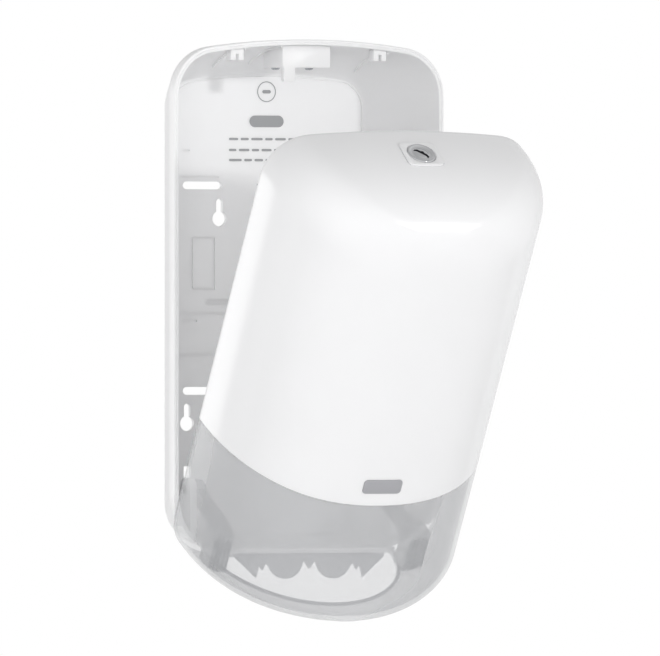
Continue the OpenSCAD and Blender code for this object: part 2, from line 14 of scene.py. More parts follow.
import bmesh
import bpy
from mathutils import Matrix, Vector
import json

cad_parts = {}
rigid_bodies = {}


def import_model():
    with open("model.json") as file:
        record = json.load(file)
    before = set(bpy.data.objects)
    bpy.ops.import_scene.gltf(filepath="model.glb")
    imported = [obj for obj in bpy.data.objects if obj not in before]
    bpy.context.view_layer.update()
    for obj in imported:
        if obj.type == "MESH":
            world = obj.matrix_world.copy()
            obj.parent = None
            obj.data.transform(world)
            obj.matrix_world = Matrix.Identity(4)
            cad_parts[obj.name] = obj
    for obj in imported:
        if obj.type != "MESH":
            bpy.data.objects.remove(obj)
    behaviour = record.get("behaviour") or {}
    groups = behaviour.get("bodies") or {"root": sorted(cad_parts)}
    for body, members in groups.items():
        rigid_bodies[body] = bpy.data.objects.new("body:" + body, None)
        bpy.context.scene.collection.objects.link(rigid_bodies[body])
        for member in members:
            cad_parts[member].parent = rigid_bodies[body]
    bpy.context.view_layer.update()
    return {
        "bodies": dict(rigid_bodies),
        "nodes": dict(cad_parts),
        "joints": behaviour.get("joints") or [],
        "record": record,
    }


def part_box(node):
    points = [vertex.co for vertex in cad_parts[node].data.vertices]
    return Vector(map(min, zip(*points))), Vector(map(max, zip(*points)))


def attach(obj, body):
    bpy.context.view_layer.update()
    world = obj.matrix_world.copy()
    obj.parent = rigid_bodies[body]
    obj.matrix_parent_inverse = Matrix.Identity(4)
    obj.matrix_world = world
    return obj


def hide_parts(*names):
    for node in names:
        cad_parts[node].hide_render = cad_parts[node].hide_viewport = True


MM = 0.001
SPECK = 0.002  # points nearer than this are one point
WELD = 0.003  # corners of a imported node's loose triangles are joined within this
FLAT = 1.5  # its faces that turn by less than this, in degrees, become one
LIFT = 0.02  # how far a print stands off the wall behind it
DRIFT = 60.0  # size of the colour's slow drift over a moulding
WANDER = 4.0  # how far light wanders inside white ABS
COAT_ROUGH = 0.16  # roughness of the clear skin on polished mouldings
PATCHY = 0.15  # share by which roughness varies over a surface
LOG = logging.getLogger("dispenser")
Point = tuple[float, float]
Triple = tuple[float, float, float]
Ring = list[Vector]


# ---------------------------------------------------------------- materials


def linear(code: str) -> tuple[float, float, float, float]:
    """Turn an sRGB hex colour into linear red, green, blue and alpha.

    Args:
        code: six hex digits, with or without a leading #.

    Returns:
        Four numbers from 0 to 1.
    """
    parts = [int(code.lstrip("#")[i : i + 2], 16) / 255 for i in (0, 2, 4)]
    red, green, blue = (c / 12.92 if c <= 0.04045 else ((c + 0.055) / 1.055) ** 2.4 for c in parts)
    return red, green, blue, 1.0


def add_node(
    tree: bpy.types.NodeTree, kind: str, links: Optional[dict] = None, **settings: object
) -> bpy.types.Node:
    """Add one node with its settings and its inputs.

    Args:
        tree: the node tree to add to.
        kind: the node's type name.
        links: input name or number to a value, or to the output socket that feeds it.
        settings: the node's own properties.

    Returns:
        The new node.
    """
    node = tree.nodes.new(kind)
    for name, value in settings.items():
        setattr(node, name, value)
    for name, value in (links or {}).items():
        if isinstance(value, bpy.types.NodeSocket):
            tree.links.new(value, node.inputs[name])
        else:
            node.inputs[name].default_value = value
    return node


class Texture(Enum):
    """How the tool or the plating left the surface."""

    POLISHED = "polished"
    SPARK = "spark eroded"
    PLATED = "plated"


@dataclass(frozen=True)
class Finish:
    """One material: what it is, how it was made and how it looks.

    Attributes:
        name: the material's name, with its process.
        colour: sRGB hex of the body.
        rough: mean roughness.
        texture: the surface the mould or the plating gives.
        grain: size of the surface's relief, in millimetres.
        relief: height of the relief, in millimetres.
        tint: how far the colour drifts over a moulding, as a share.
        metal: 1 for metals.
        ior: refractive index, left at the default on metals.
        alpha: share of light that the thin wall stops.
        coat: clear gloss skin.
        glow: share of light that wanders through the wall.
    """

    name: str
    colour: str
    rough: float
    texture: Texture = Texture.SPARK
    grain: float = 0.9
    relief: float = 0.01
    tint: float = 0.02
    metal: float = 0.0
    ior: float = 1.5
    alpha: float = 1.0
    coat: float = 0.0
    glow: float = 0.0

    def material(self) -> bpy.types.Material:
        """Build the node material.

        Returns:
            The material, made once for each name.
        """
        found = bpy.data.materials.get(self.name)
        if found:
            return found
        made = bpy.data.materials.new(self.name)
        made.use_nodes = True
        tree = made.node_tree
        tree.nodes.clear()
        place = add_node(tree, "ShaderNodeTexCoord").outputs["Object"]
        broad = 1 / (DRIFT * MM)
        drift = add_node(tree, "ShaderNodeTexNoise", {"Vector": place, "Scale": broad, "Detail": 2.0})
        shade = add_node(tree, "ShaderNodeValToRGB", {"Fac": drift.outputs["Fac"]})
        base = linear(self.colour)
        shade.color_ramp.elements[0].position = 0.3
        shade.color_ramp.elements[1].position = 0.7
        shade.color_ramp.elements[0].color = [c * (1 - self.tint) for c in base[:3]] + [1.0]
        shade.color_ramp.elements[1].color = base
        grain = 1 / (self.grain * MM)
        fine = add_node(tree, "ShaderNodeTexNoise", {"Vector": place, "Scale": grain, "Detail": 3.0})
        rough = add_node(
            tree,
            "ShaderNodeMapRange",
            {
                "Value": fine.outputs["Fac"],
                "To Min": self.rough * (1 - PATCHY),
                "To Max": self.rough * (1 + PATCHY),
            },
        )
        bump = add_node(
            tree,
            "ShaderNodeBump",
            {"Height": self.height(tree, place, fine), "Strength": 1.0, "Distance": self.relief * MM},
        )
        shader = add_node(
            tree,
            "ShaderNodeBsdfPrincipled",
            {
                "Base Color": shade.outputs["Color"],
                "Roughness": rough.outputs["Result"],
                "Normal": bump.outputs["Normal"],
                "Metallic": self.metal,
                "Alpha": self.alpha,
                "Coat Weight": self.coat,
                "Coat Roughness": COAT_ROUGH,
                "Subsurface Weight": self.glow,
                "Subsurface Radius": (1.0, 1.0, 1.0),
                "Subsurface Scale": WANDER * MM,
            },
        )
        if not self.metal:
            shader.inputs["IOR"].default_value = self.ior
        add_node(tree, "ShaderNodeOutputMaterial", {"Surface": shader.outputs["BSDF"]})
        return made

    def height(
        self, tree: bpy.types.NodeTree, place: bpy.types.NodeSocket, fine: bpy.types.Node
    ) -> bpy.types.NodeSocket:
        """Pick what raises the surface, by how it was made.

        Args:
            tree: the material's tree.
            place: the object coordinates.
            fine: the noise that also varies the roughness.

        Returns:
            The height output: round craters on a spark-eroded face, else the smooth noise.
        """
        if self.texture is not Texture.SPARK:
            return fine.outputs["Fac"]
        pits = add_node(tree, "ShaderNodeTexVoronoi", {"Vector": place, "Scale": 1 / (self.grain * MM)})
        return pits.outputs["Distance"]


# High-gloss ABS from a polished mould: even white with a clear, sharp sheen
COVER_ABS = Finish(
    "abs_white_polished_mould",
    "#F4F4F5",
    0.2,
    Texture.POLISHED,
    2.5,
    0.004,
    0.012,
    ior=1.53,
    coat=0.25,
    glow=0.2,
)
# The tray is the same ABS from a satin mould: wider, softer highlights
TRAY_ABS = Finish(
    "abs_white_satin_mould", "#F6F6F7", 0.34, Texture.SPARK, 0.8, 0.01, 0.012, ior=1.53, glow=0.6
)
# Inner fittings in natural acetal: slightly waxy, off-white
INNER_POM = Finish("acetal_natural_moulded", "#E9E9E8", 0.4, Texture.SPARK, 0.7, 0.012, 0.02, ior=1.48)
# Smoke-tinted SAN: a thin clear wall that stops about a third of the light
WINDOW_SAN = Finish(
    "san_smoke_clear_moulded", "#D6D7D9", 0.14, Texture.POLISHED, 3.0, 0.004, 0.02, ior=1.57, alpha=0.36
)
# The comb and the outlet's bead are moulded in the same smoke grade, thicker and so denser
COMB_SAN = Finish(
    "san_smoke_dense_moulded", "#BCBDC0", 0.3, Texture.SPARK, 0.8, 0.008, 0.03, ior=1.57, alpha=0.85
)
# The hinge arms are the same grade again, ribbed and partly see-through
FOOT_SAN = Finish(
    "san_smoke_thick_moulded", "#CDCED0", 0.35, Texture.SPARK, 0.8, 0.01, 0.04, ior=1.57, alpha=0.62
)
# Cool grey ABS inlay with a fine satin
BADGE_ABS = Finish("abs_grey_inlay", "#A9A9AD", 0.3, Texture.SPARK, 0.5, 0.01, 0.02, ior=1.53)
# Bright nickel-chrome over a zinc die casting: mirror-like with a faint ripple
LOCK_CHROME = Finish(
    "zinc_diecast_chrome_plated", "#E6E7E9", 0.07, Texture.PLATED, 1.5, 0.004, 0.03, metal=1.0
)
# Bare zinc casting, dull
CAM_ZINC = Finish("zinc_diecast_tumbled", "#9A9C9F", 0.42, Texture.PLATED, 0.4, 0.012, 0.06, metal=1.0)
# Bright zinc plate on steel screws, pins and spring wire
STEEL_ZINC = Finish("steel_zinc_plated", "#BFC2C6", 0.26, Texture.PLATED, 0.3, 0.006, 0.05, metal=1.0)
# Grey glass-filled acetal, dry and matt
LATCH_POM = Finish("acetal_grey_glass_filled", "#8C8F94", 0.5, Texture.SPARK, 0.35, 0.02, 0.05, ior=1.48)
# Grey pad-printing ink, a film on the tray
PRINT_INK = Finish("pad_print_ink_grey", "#A7A8AA", 0.5, Texture.SPARK, 0.3, 0.004, 0.05, ior=1.5)
# Painted shade: a dark matt sheet low in the key slot stands in for the deep keyway's shadow
SLOT_PAINTED_SHADE = Finish("slot_painted_shade", "#3A3B3D", 0.6, Texture.SPARK, 0.4, 0.01, 0.1, ior=1.5)


# ---------------------------------------------------------------- mesh tools


def new_piece(name: str, mesh: bpy.types.Mesh) -> bpy.types.Object:
    """Link a mesh into the scene as an object at the origin.

    Args:
        name: name of the object and of its mesh.
        mesh: the mesh.

    Returns:
        The object.
    """
    mesh.name = name
    made = bpy.data.objects.new(name, mesh)
    bpy.context.scene.collection.objects.link(made)
    return made


def mesh_from(points: Sequence[Vector], faces: Sequence[Sequence[int]]) -> bpy.types.Mesh:
    """Make a mesh with outward normals from points in metres.

    Args:
        points: vertices.
        faces: vertex numbers of each face.

    Returns:
        The mesh.
    """
    mesh = bpy.data.meshes.new("mesh")
    mesh.from_pydata([tuple(p) for p in points], [], [tuple(f) for f in faces])
    tool = bmesh.new()
    tool.from_mesh(mesh)
    bmesh.ops.recalc_face_normals(tool, faces=tool.faces)
    tool.to_mesh(mesh)
    tool.free()
    return mesh


def skin(rings: Sequence[Ring]) -> bpy.types.Mesh:
    """Join rings of equal length into a closed skin, with a flat cap at each end.

    Args:
        rings: rings of points, in order along the surface.

    Returns:
        The mesh.
    """
    count = len(rings[0])
    points = [p for ring in rings for p in ring]
    faces: list[list[int]] = [list(range(count))]
    for k in range(len(rings) - 1):
        for i in range(count):
            j = (i + 1) % count
            faces.append([k * count + i, k * count + j, (k + 1) * count + j, (k + 1) * count + i])
    faces.append([(len(rings) - 1) * count + i for i in range(count)])
    return mesh_from(points, faces)


def prism(shape: Sequence[Point], low: float, high: float, lay: Callable) -> bpy.types.Mesh:
    """Extrude a flat shape between two levels.

    Args:
        shape: the outline, in millimetres.
        low: first level, in millimetres.
        high: second level, in millimetres.
        lay: turns (a, b, level) into a point in metres.

    Returns:
        The mesh.
    """
    return skin([[lay(a, b, level) for a, b in shape] for level in (low, high)])


def block(low: Sequence[float], high: Sequence[float]) -> bpy.types.Mesh:
    """Make a box from two corners in millimetres, heights from the rim's bottom."""
    shape = [(low[0], low[1]), (high[0], low[1]), (high[0], high[1]), (low[0], high[1])]
    return prism(shape, low[2], high[2], in_tray)


def merged(meshes: Iterable[bpy.types.Mesh]) -> bpy.types.Mesh:
    """Join meshes that don't touch into one.

    Args:
        meshes: the meshes to join.

    Returns:
        The joined mesh.
    """
    tool = bmesh.new()
    for mesh in meshes:
        tool.from_mesh(mesh)
    out = bpy.data.meshes.new("merged")
    tool.to_mesh(out)
    tool.free()
    return out


def with_modifiers(piece: bpy.types.Object) -> None:
    """Turn an object's modifiers into its mesh and remove them.

    Args:
        piece: the object to change.
    """
    graph = bpy.context.evaluated_depsgraph_get()
    graph.update()
    made = bpy.data.meshes.new_from_object(piece.evaluated_get(graph))
    piece.modifiers.clear()
    piece.data = made


def carve(piece: bpy.types.Object, tool_mesh: bpy.types.Mesh, how: str = "DIFFERENCE") -> None:
    """Cut a piece with a tool, or keep or add what they share.

    Args:
        piece: the object to change.
        tool_mesh: the tool, a closed mesh in metres.
        how: DIFFERENCE, INTERSECT or UNION.
    """
    tool = new_piece("tool", tool_mesh)
    change = piece.modifiers.new("carve", "BOOLEAN")
    change.operation = how
    change.solver = "EXACT"
    change.object = tool
    with_modifiers(piece)
    bpy.data.objects.remove(tool)


def soften(piece: bpy.types.Object, width: float, angle: float = 32.0) -> None:
    """Round the sharp edges, as a mould does.

    Args:
        piece: the object to change.
        width: width of the rounding, in millimetres.
        angle: least angle between faces that counts as an edge, in degrees.
    """
    change = piece.modifiers.new("soften", "BEVEL")
    change.width = width * MM
    change.segments = 2
    change.limit_method = "ANGLE"
    change.angle_limit = math.radians(angle)
    change.use_clamp_overlap = True
    with_modifiers(piece)


def smooth(mesh: bpy.types.Mesh, angle: float = 30.0) -> None:
    """Shade a mesh smooth, with creases where faces meet at more than an angle in degrees."""
    mesh.shade_smooth()
    mesh.set_sharp_from_angle(angle=math.radians(angle))


def tidy(piece: bpy.types.Object) -> None:
    """Merge doubles and drop faces with no area, which exact cuts can leave.

    Args:
        piece: the object to change.
    """
    tool = bmesh.new()
    tool.from_mesh(piece.data)
    bmesh.ops.remove_doubles(tool, verts=tool.verts, dist=SPECK * MM)
    bmesh.ops.dissolve_degenerate(tool, edges=tool.edges, dist=SPECK * MM)
    tool.to_mesh(piece.data)
    tool.free()


def dress(piece: bpy.types.Object, finish: Finish, body: str, slot: str, *nodes: str) -> None:
    """Give a finished piece its material and its body, and hide the nodes it stands for.

    Args:
        piece: the object.
        finish: its material.
        body: the body it rides on.
        slot: not used.
        nodes: the nodes it stands for.
    """
    piece.data.materials.clear()
    piece.data.materials.append(finish.material())
    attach(piece, body)
    if nodes:
        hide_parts(*nodes)
    LOG.info("%s: %d faces, %s, on %s", piece.name, len(piece.data.polygons), finish.name, body)


def refined(
    frame: dict, node: str, name: str, width: float, finish: Finish, body: str, slot: str
) -> None:
    """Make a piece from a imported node: a copy with rounded edges.

    Args:
        node: the node's name.
        name: the piece's name.
        width: width of the rounding, in millimetres.
        finish: the piece's material.
        body: the body it rides on.
        slot: the record's material slot.
    """
    piece = new_piece(name, frame["nodes"][node].data.copy())
    tool = bmesh.new()
    tool.from_mesh(piece.data)
    bmesh.ops.remove_doubles(tool, verts=tool.verts, dist=WELD * MM)
    bmesh.ops.dissolve_limit(tool, angle_limit=math.radians(FLAT), verts=tool.verts, edges=tool.edges)
    tool.to_mesh(piece.data)
    tool.free()
    soften(piece, width)
    smooth(piece.data, 35)
    dress(piece, finish, body, slot, node)


# ---------------------------------------------------------------- outlines


def arc(middle: Point, r: float, start: float, sweep: float, steps: int) -> list[Point]:
    """Points along an arc, both ends included.

    Args:
        middle: its centre.
        r: its radius.
        start: first angle, in radians.
        sweep: angle it covers, in radians.
        steps: steps along it.

    Returns:
        The points.
    """
    turns = [start + sweep * i / steps for i in range(steps + 1)]
    return [(middle[0] + r * math.cos(t), middle[1] + r * math.sin(t)) for t in turns]


def circle(r: float, steps: int) -> list[Point]:
    """Points round a circle about the origin, with no point twice."""
    return arc((0.0, 0.0), r, 0.0, math.tau, steps)[:-1]


def pillow(reach: Point, r: float, height: float = 0.0) -> list[Point]:
    """Rectangle with round corners.

    Args:
        reach: how far the corners' centres lie from the middle, across and up.
        r: corner radius.
        height: height of the middle.

    Returns:
        The outline.
    """
    found = []
    for k, (sx, sy) in enumerate(((1, 1), (-1, 1), (-1, -1), (1, -1))):
        found += arc((sx * reach[0], height + sy * reach[1]), r, math.pi / 2 * k, math.pi / 2, 8)
    return found


def quarter(a: float, r: float, rise: float, fine: int) -> list[Point]:
    """Points from the side up to the middle of an arched end whose apex is at height 0.

    Args:
        a: half width.
        r: corner radius.
        rise: rise of the arch over half the width.
        fine: steps round the corner, and along half the arch.

    Returns:
        The points, side first.
    """
    big = (a * a + rise * rise) / (2 * rise)
    centre = math.sqrt((big - r) ** 2 - (a - r) ** 2) - big
    turn = math.atan2(centre + big, a - r)
    arch = arc((0.0, -big), big, turn, math.pi / 2 - turn, fine)[1:]
    return arc((a - r, centre), r, 0.0, turn, fine) + arch


@dataclass(frozen=True)
class Panel:
    """A rounded panel outline with arched ends.

    Attributes:
        a: half width.
        top: height of the top's apex.
        low: height of the bottom's apex.
        r_top: radius of the top corners.
        r_low: radius of the bottom corners.
        rise_top: rise of the arched top.
        rise_low: rise of the arched bottom.
    """

    a: float
    top: float
    low: float
    r_top: float
    r_low: float
    rise_top: float
    rise_low: float

    def points(self, fine: int = 12) -> list[Point]:
        """Points round the outline, from the right side over the top.

        Args:
            fine: steps round each corner and along half of each arch.

        Returns:
            The closed outline, without its first point again.
        """
        up = quarter(self.a, self.r_top, self.rise_top, fine)
        down = quarter(self.a, self.r_low, self.rise_low, fine)
        right = [(x, self.top + z) for x, z in up]
        left = [(-x, self.top + z) for x, z in reversed(up[:-1])]
        low_left = [(-x, self.low - z) for x, z in down]
        low_right = [(x, self.low - z) for x, z in reversed(down[:-1])]
        return right + left + low_left + low_right


# ---------------------------------------------------------------- frames


@dataclass
class Frames:
    """Where the tray, the cover and the lock stand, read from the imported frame.

    Attributes:
        base: height of the rim's bottom, in metres.
        cover: turns the closed cover into the open one.
        lock: the lock's place on the open cover, its z outwards.
        pivot: a point on the hinge's axis, in metres.
        angle: how far the cover is open, in radians.
    """

    frame: dict
    base: float = 0.0
    cover: Matrix = field(default_factory=Matrix)
    lock: Matrix = field(default_factory=Matrix)
    pivot: Vector = field(default_factory=Vector)
    angle: float = 0.0

    def __post_init__(self) -> None:
        """Read the rim's bottom, the hinge and the lock."""
        joints = {j["name"]: j for j in self.frame["joints"]}
        self.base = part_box("rear_housing")[0].z
        hinge = joints["cover_hinge"]
        self.pivot = Vector(hinge["pos_m"])
        self.angle = math.radians(-hinge["range_deg"][0])
        move = Matrix.Translation(self.pivot)
        self.cover = move @ Matrix.Rotation(self.angle, 4, "X") @ move.inverted()
        key = joints["key_turn"]
        out = -Vector(key["axis"]).normalized()
        side = Vector((1, 0, 0))
        back = out.cross(side)
        turn = Matrix((side, back, out)).transposed().to_4x4()
        self.lock = Matrix.Translation(Vector(key["pos_m"])) @ turn

    def hinge(self) -> Point:
        """Depth and height of the hinge's axis on the tray, in millimetres."""
        return self.pivot.y / MM, (self.pivot.z - self.base) / MM


FRAMES: dict[str, Frames] = {}


def at_origin(x: float, y: float, z: float) -> Vector:
    """Point in metres from millimetres."""
    return Vector((x, y, z)) * MM


def in_tray(x: float, y: float, z: float) -> Vector:
    """Point of the tray in metres from millimetres, its height from the rim's bottom."""
    return Vector((x * MM, y * MM, z * MM + FRAMES["now"].base))


def in_cover(x: float, y: float, z: float) -> Vector:
    """Point of the open cover in metres from its place in the closed cover, in millimetres."""
    return FRAMES["now"].cover @ in_tray(x, y, z)


def in_lock(x: float, y: float, z: float) -> Vector:
    """Point of the lock in metres, its height counted outwards from the cover's top surface."""
    return FRAMES["now"].lock @ Vector((x * MM, y * MM, z * MM))


def facing_tray(x: float, z: float, y: float) -> Vector:
    """Point of the tray from its place seen from the front, and its depth."""
    return in_tray(x, y, z)


def across_tray(y: float, z: float, x: float) -> Vector:
    """Point of the tray from its place seen from the side, and its place across."""
    return in_tray(x, y, z)


def facing_cover(x: float, z: float, y: float) -> Vector:
    """Point of the open cover from its place seen from the front, and its depth, as if closed."""
    return in_cover(x, y, z)


def local_box(frame: dict, node: str, place: Matrix) -> tuple[Vector, Vector]:
    """Corners of a node along the axes of a turned frame, in that frame.

    Args:
        node: the node's name.
        place: the turned frame.

    Returns:
        Its lowest and highest corner, in metres.
    """
    back = place.inverted()
    points = [back @ v.co for v in frame["nodes"][node].data.vertices]
    low = Vector([min(p[i] for p in points) for i in range(3)])
    high = Vector([max(p[i] for p in points) for i in range(3)])
    return low, high


# ---------------------------------------------------------------- tray


@dataclass
class Tray:
    """The back tray with its fixings, prints, guides, comb and hinge pins.

    Attributes:
        back: thickness of the back wall.
        wall: thickness of the side walls.
        lip: width of the rim's face.
        flange: depth of the rim's flange.
        side_lean: how far each side wall leans in, from rim to back.
        top_lean: how far the top wall leans in.
        top_power: how sharply the top wall turns near the back.
        floor_lean: how far the floor leans in.
        r_top: radius of the rim's top corners.
        r_low: radius of the rim's bottom corners.
        tighter: how much smaller the top and the bottom corners are at the back.
        rise: rise of the arched top.
        back_rise: share of that rise at the back.
        rise_low: rise of the bottom edge.
        key_top: place of an upper keyhole's head.
        key_low: place of a lower keyhole's head.
        head_r: radius of a keyhole's head.
        neck_r: radius of a keyhole's neck.
        key_rise: height of the neck's end over the head's middle.
        slot: length and width of a screw slot.
        slot_x: place of a screw slot's middle.
        slot_heights: heights of the upper and the lower slots.
        tie: place, width, foot and height of a tie window.
        ribs_at: place and thickness of each rib on the top wall.
        rib_reach: how far a rib stands into the wall and out of it.
        tongue: half width of the rim's bottom that the swinging cover clears.
        ear: inner face, thickness and radius of a hinge ear.
        swing_gap: room round the swinging cover's lower corners.
        line_deep: depth of the moulded lines.
        line_wide: width of the narrow ones.
        film: thickness of the printed marks.
        plates: height, length and width of the printed plates.
        ring_mark: height, outer radius and inner radius of the printed ring.
        dash_heights: heights of the printed rows of dashes.
        dash_span: where each row starts and ends.
        dash_long: least and greatest length of a dash.
        dash_wide: width of a dash.
        dash_gap: gap between dashes.
        a: half width of the rim.
        height: height of the rim.
        depth: depth from the wall to the rim's face.
    """

    frame: dict
    back: float = 3.0
    wall: float = 2.4
    lip: float = 3.6
    flange: float = 9.0
    side_lean: float = 22.3
    top_lean: float = 16.4
    top_power: float = 2.6
    floor_lean: float = 5.0
    r_top: float = 31.0
    r_low: float = 39.0
    tighter: Point = (8.0, 12.0)
    rise: float = 9.7
    back_rise: float = 0.7
    rise_low: float = 0.8
    key_top: Point = (33.8, 216.0)
    key_low: Point = (56.9, 83.7)
    head_r: float = 5.0
    neck_r: float = 2.3
    key_rise: float = 10.6
    slot: Point = (28.0, 5.0)
    slot_x: float = 46.0
    slot_heights: Point = (237.4, 104.7)
    tie: tuple[float, float, float, float] = (56.8, 5.2, 40.0, 16.0)
    ribs_at: tuple[Point, ...] = ((-44.0, 1.0), (-18.0, 1.2), (58.0, 1.2))
    rib_reach: Point = (0.8, 1.6)
    tongue: float = 61.0
    ear: Triple = (69.4, 5.0, 8.0)
    swing_gap: float = 1.0
    line_deep: float = 0.9
    line_wide: float = 0.8
    film: float = 0.12
    plates: tuple[Triple, ...] = (
        (279.0, 24.5, 7.5),
        (298.2, 6.0, 2.2),
        (246.0, 5.0, 3.0),
        (238.0, 14.0, 1.5),
    )
    ring_mark: Triple = (298.2, 6.7, 6.1)
    dash_heights: Triple = (267.5, 260.4, 253.9)
    dash_span: Point = (-27.0, 24.0)
    dash_long: Point = (5.0, 10.0)
    dash_wide: float = 1.5
    dash_gap: float = 1.8
    a: float = 0.0
    height: float = 0.0
    depth: float = 0.0

    def __post_init__(self) -> None:
        """Read the rim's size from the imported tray."""
        low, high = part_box("rear_housing")
        self.a = high.x / MM
        self.height = (high.z - low.z) / MM
        self.depth = -low.y / MM

    def panel(self, u: float, g: float) -> Panel:
        """Outline of the cavity at one depth.

        Args:
            u: share of the depth, 0 at the back and 1 at the rim.
            g: how far the outline is grown outwards.

        Returns:
            The outline.
        """
        left = 1 - u
        return Panel(
            self.a - self.lip - self.side_lean * left + g,
            self.height - self.lip - self.top_lean * left**self.top_power + g,
            self.lip + self.floor_lean * left**2 - g,
            self.r_top - self.lip - self.tighter[0] * left + g,
            self.r_low - self.lip - self.tighter[1] * left + g,
            self.rise * (self.back_rise + (1 - self.back_rise) * u),
            self.rise_low,
        )

    def ring(self, y: float, u: float, g: float) -> Ring:
        """Ring of points at distance y from the wall."""
        return [in_tray(x, -y, z) for x, z in self.panel(u, g).points()]

    def profile(self) -> list[Triple]:
        """The wall's section, from the back over the lip to the inside.

        Returns:
            Distance from the wall, share of depth and growth of each ring of the skin.
        """
        back, front, edge = self.back, self.depth, self.lip
        deep = front - back
        step = front - self.flange
        # outer edge of the back, then the outside up to the flange
        rows = [(0.0, 0.0, -0.6), (0.2, 0.0, 0.2), (0.7, 0.0, 0.8), (1.6, 0.0, 1.6), (back, 0.0, self.wall)]
        rows += [self.level(back + (step - back) * i / 10, self.wall) for i in range(1, 11)]
        # the flange, its edges rounded
        rows += [(step, 1.0, edge - 0.4), (step + 0.15, 1.0, edge - 0.1), (step + 0.4, 1.0, edge)]
        rows += [(front - 1.0, 1.0, edge), (front - 0.35, 1.0, edge - 0.15), (front - 0.08, 1.0, edge - 0.5)]
        rows += [(front, 1.0, edge - 0.9), (front, 1.0, edge * 0.62)]
        # the groove along the rim's face
        rows += [(front - 0.35, 1.0, edge * 0.6), (front - 0.5, 1.0, edge * 0.51)]
        rows += [(front - 0.35, 1.0, edge * 0.42), (front, 1.0, edge * 0.4)]
        # the inner edge, then the inside down to the back wall
        rows += [(front, 1.0, 0.6), (front - 0.15, 1.0, 0.2), (front - 0.6, 1.0, 0.0)]
        rows += [self.level(front - 0.6 - (deep - 3.6) * i / 14, 0.0) for i in range(1, 14)]
        rows += [self.level(back + 3.0, 0.0), self.level(back + 1.2, -0.15)]
        rows += [(back + 0.35, 0.0, -0.5), (back, 0.0, -1.0)]
        # the moulded line round the back wall
        rows += [(back, 0.0, -1.8), (back - 0.8, 0.0, -2.0), (back - 0.8, 0.0, -2.8), (back, 0.0, -3.0)]
        return rows

    def level(self, y: float, g: float) -> Triple:
        """One row of the section, at distance y from the wall and grown by g."""
        return y, max(0.0, (y - self.back) / (self.depth - self.back)), g

    def shell(self) -> None:
        """The tray itself, with every hole, ear and moulded line."""
        piece = new_piece("back_tray", skin([self.ring(y, u, g) for y, u, g in self.profile()]))
        carve(piece, merged(self.ears() + self.ribs()), "UNION")
        carve(piece, merged(self.openings()))
        for lines in self.moulded_lines():
            carve(piece, merged(lines))
        carve(piece, merged([self.swing(1), self.swing(-1)]))
        tidy(piece)
        smooth(piece.data, 28)
        dress(piece, TRAY_ABS, "wall_unit", "tray_white", "rear_housing")

    def ears(self) -> list[bpy.types.Mesh]:
        """The two ears that hold the hinge pins.

        Returns:
            A mesh for each.
        """
        x0, thick, r = self.ear
        y, z = FRAMES["now"].hinge()
        shape = arc((y, z), r, 0.0, math.pi, 20)
        foot = self.panel(0.5, -0.4).low + 4.2
        shape += [(y - r, foot), (y + r, foot + 0.6)]
        return [prism(shape, s * x0, s * (x0 + thick), across_tray) for s in (-1, 1)]

    def ribs(self) -> list[bpy.types.Mesh]:
        """Low ribs that stiffen the top wall, running from back to rim.

        Returns:
            A mesh for each.
        """
        shares = [i / 12 for i in range(2, 12)]
        far = [self.back + (self.depth - self.back) * u for u in shares]
        into, out = self.rib_reach
        found = []
        for x, thick in self.ribs_at:
            panels = [self.panel(u, 0.0) for u in shares]
            wall = [panel.top - self.sag(panel, x) for panel in panels]
            upper = [(-y, z + into) for y, z in zip(far, wall)]
            lower = [(-y, z - out) for y, z in zip(far, wall)]
            found.append(prism(upper + lower[::-1], x, x + thick, across_tray))
        return found

    @staticmethod
    def sag(panel: Panel, x: float) -> float:
        """How far an arched top has dropped beside its middle.

        Args:
            panel: the outline.
            x: place across, from the middle.

        Returns:
            The drop.
        """
        big = (panel.a**2 + panel.rise_top**2) / (2 * panel.rise_top)
        drop = big - math.sqrt(big * big - x * x)
        past = max(0.0, abs(x) - (panel.a - panel.r_top))
        return drop + panel.r_top - math.sqrt(max(panel.r_top**2 - past**2, 0.0))

    def openings(self) -> list[bpy.types.Mesh]:
        """Tools for the keyholes, the screw slots and the tie windows.

        Returns:
            A mesh for each.
        """
        shapes = []
        for s in (-1, 1):
            shapes += [self.keyhole(s * x, z) for x, z in (self.key_top, self.key_low)]
            shapes += [self.stadium(s * self.slot_x, z, *self.slot) for z in self.slot_heights]
            x, wide, z, tall = self.tie
            x0, x1 = s * x - wide / 2, s * x + wide / 2
            shapes.append([(x0, z), (x1, z), (x1, z + tall), (x0, z + tall)])
        return [prism(shape, 2.0, -self.back - 2.0, facing_tray) for shape in shapes]

    def keyhole(self, x: float, z: float) -> list[Point]:
        """Outline of a keyhole: a round head with a narrow neck above it.

        Args:
            x: place of the head's middle.
            z: height of the head's middle.

        Returns:
            The outline.
        """
        gap = math.asin(self.neck_r / self.head_r)
        head = arc((x, z), self.head_r, math.pi / 2 + gap, 2 * (math.pi - gap), 36)
        return head + arc((x, z + self.key_rise), self.neck_r, 0.0, math.pi, 14)

    @staticmethod
    def stadium(x: float, z: float, long: float, wide: float) -> list[Point]:
        """Outline of a slot with round ends.

        Args:
            x: place of its middle.
            z: height of its middle.
            long: its length.
            wide: its width.

        Returns:
            The outline.
        """
        reach = (long - wide) / 2
        right = arc((x + reach, z), wide / 2, -math.pi / 2, math.pi, 14)
        return right + arc((x - reach, z), wide / 2, math.pi / 2, math.pi, 14)

    def line(self, x0: float, x1: float, z: float, tall: float) -> bpy.types.Mesh:
        """Tool that presses a line into the back wall, from x0 to x1 and from z up."""
        x0, x1 = sorted((x0, x1))
        return block((x0, -self.back - 1, z), (x1, -self.back + self.line_deep, z + tall))

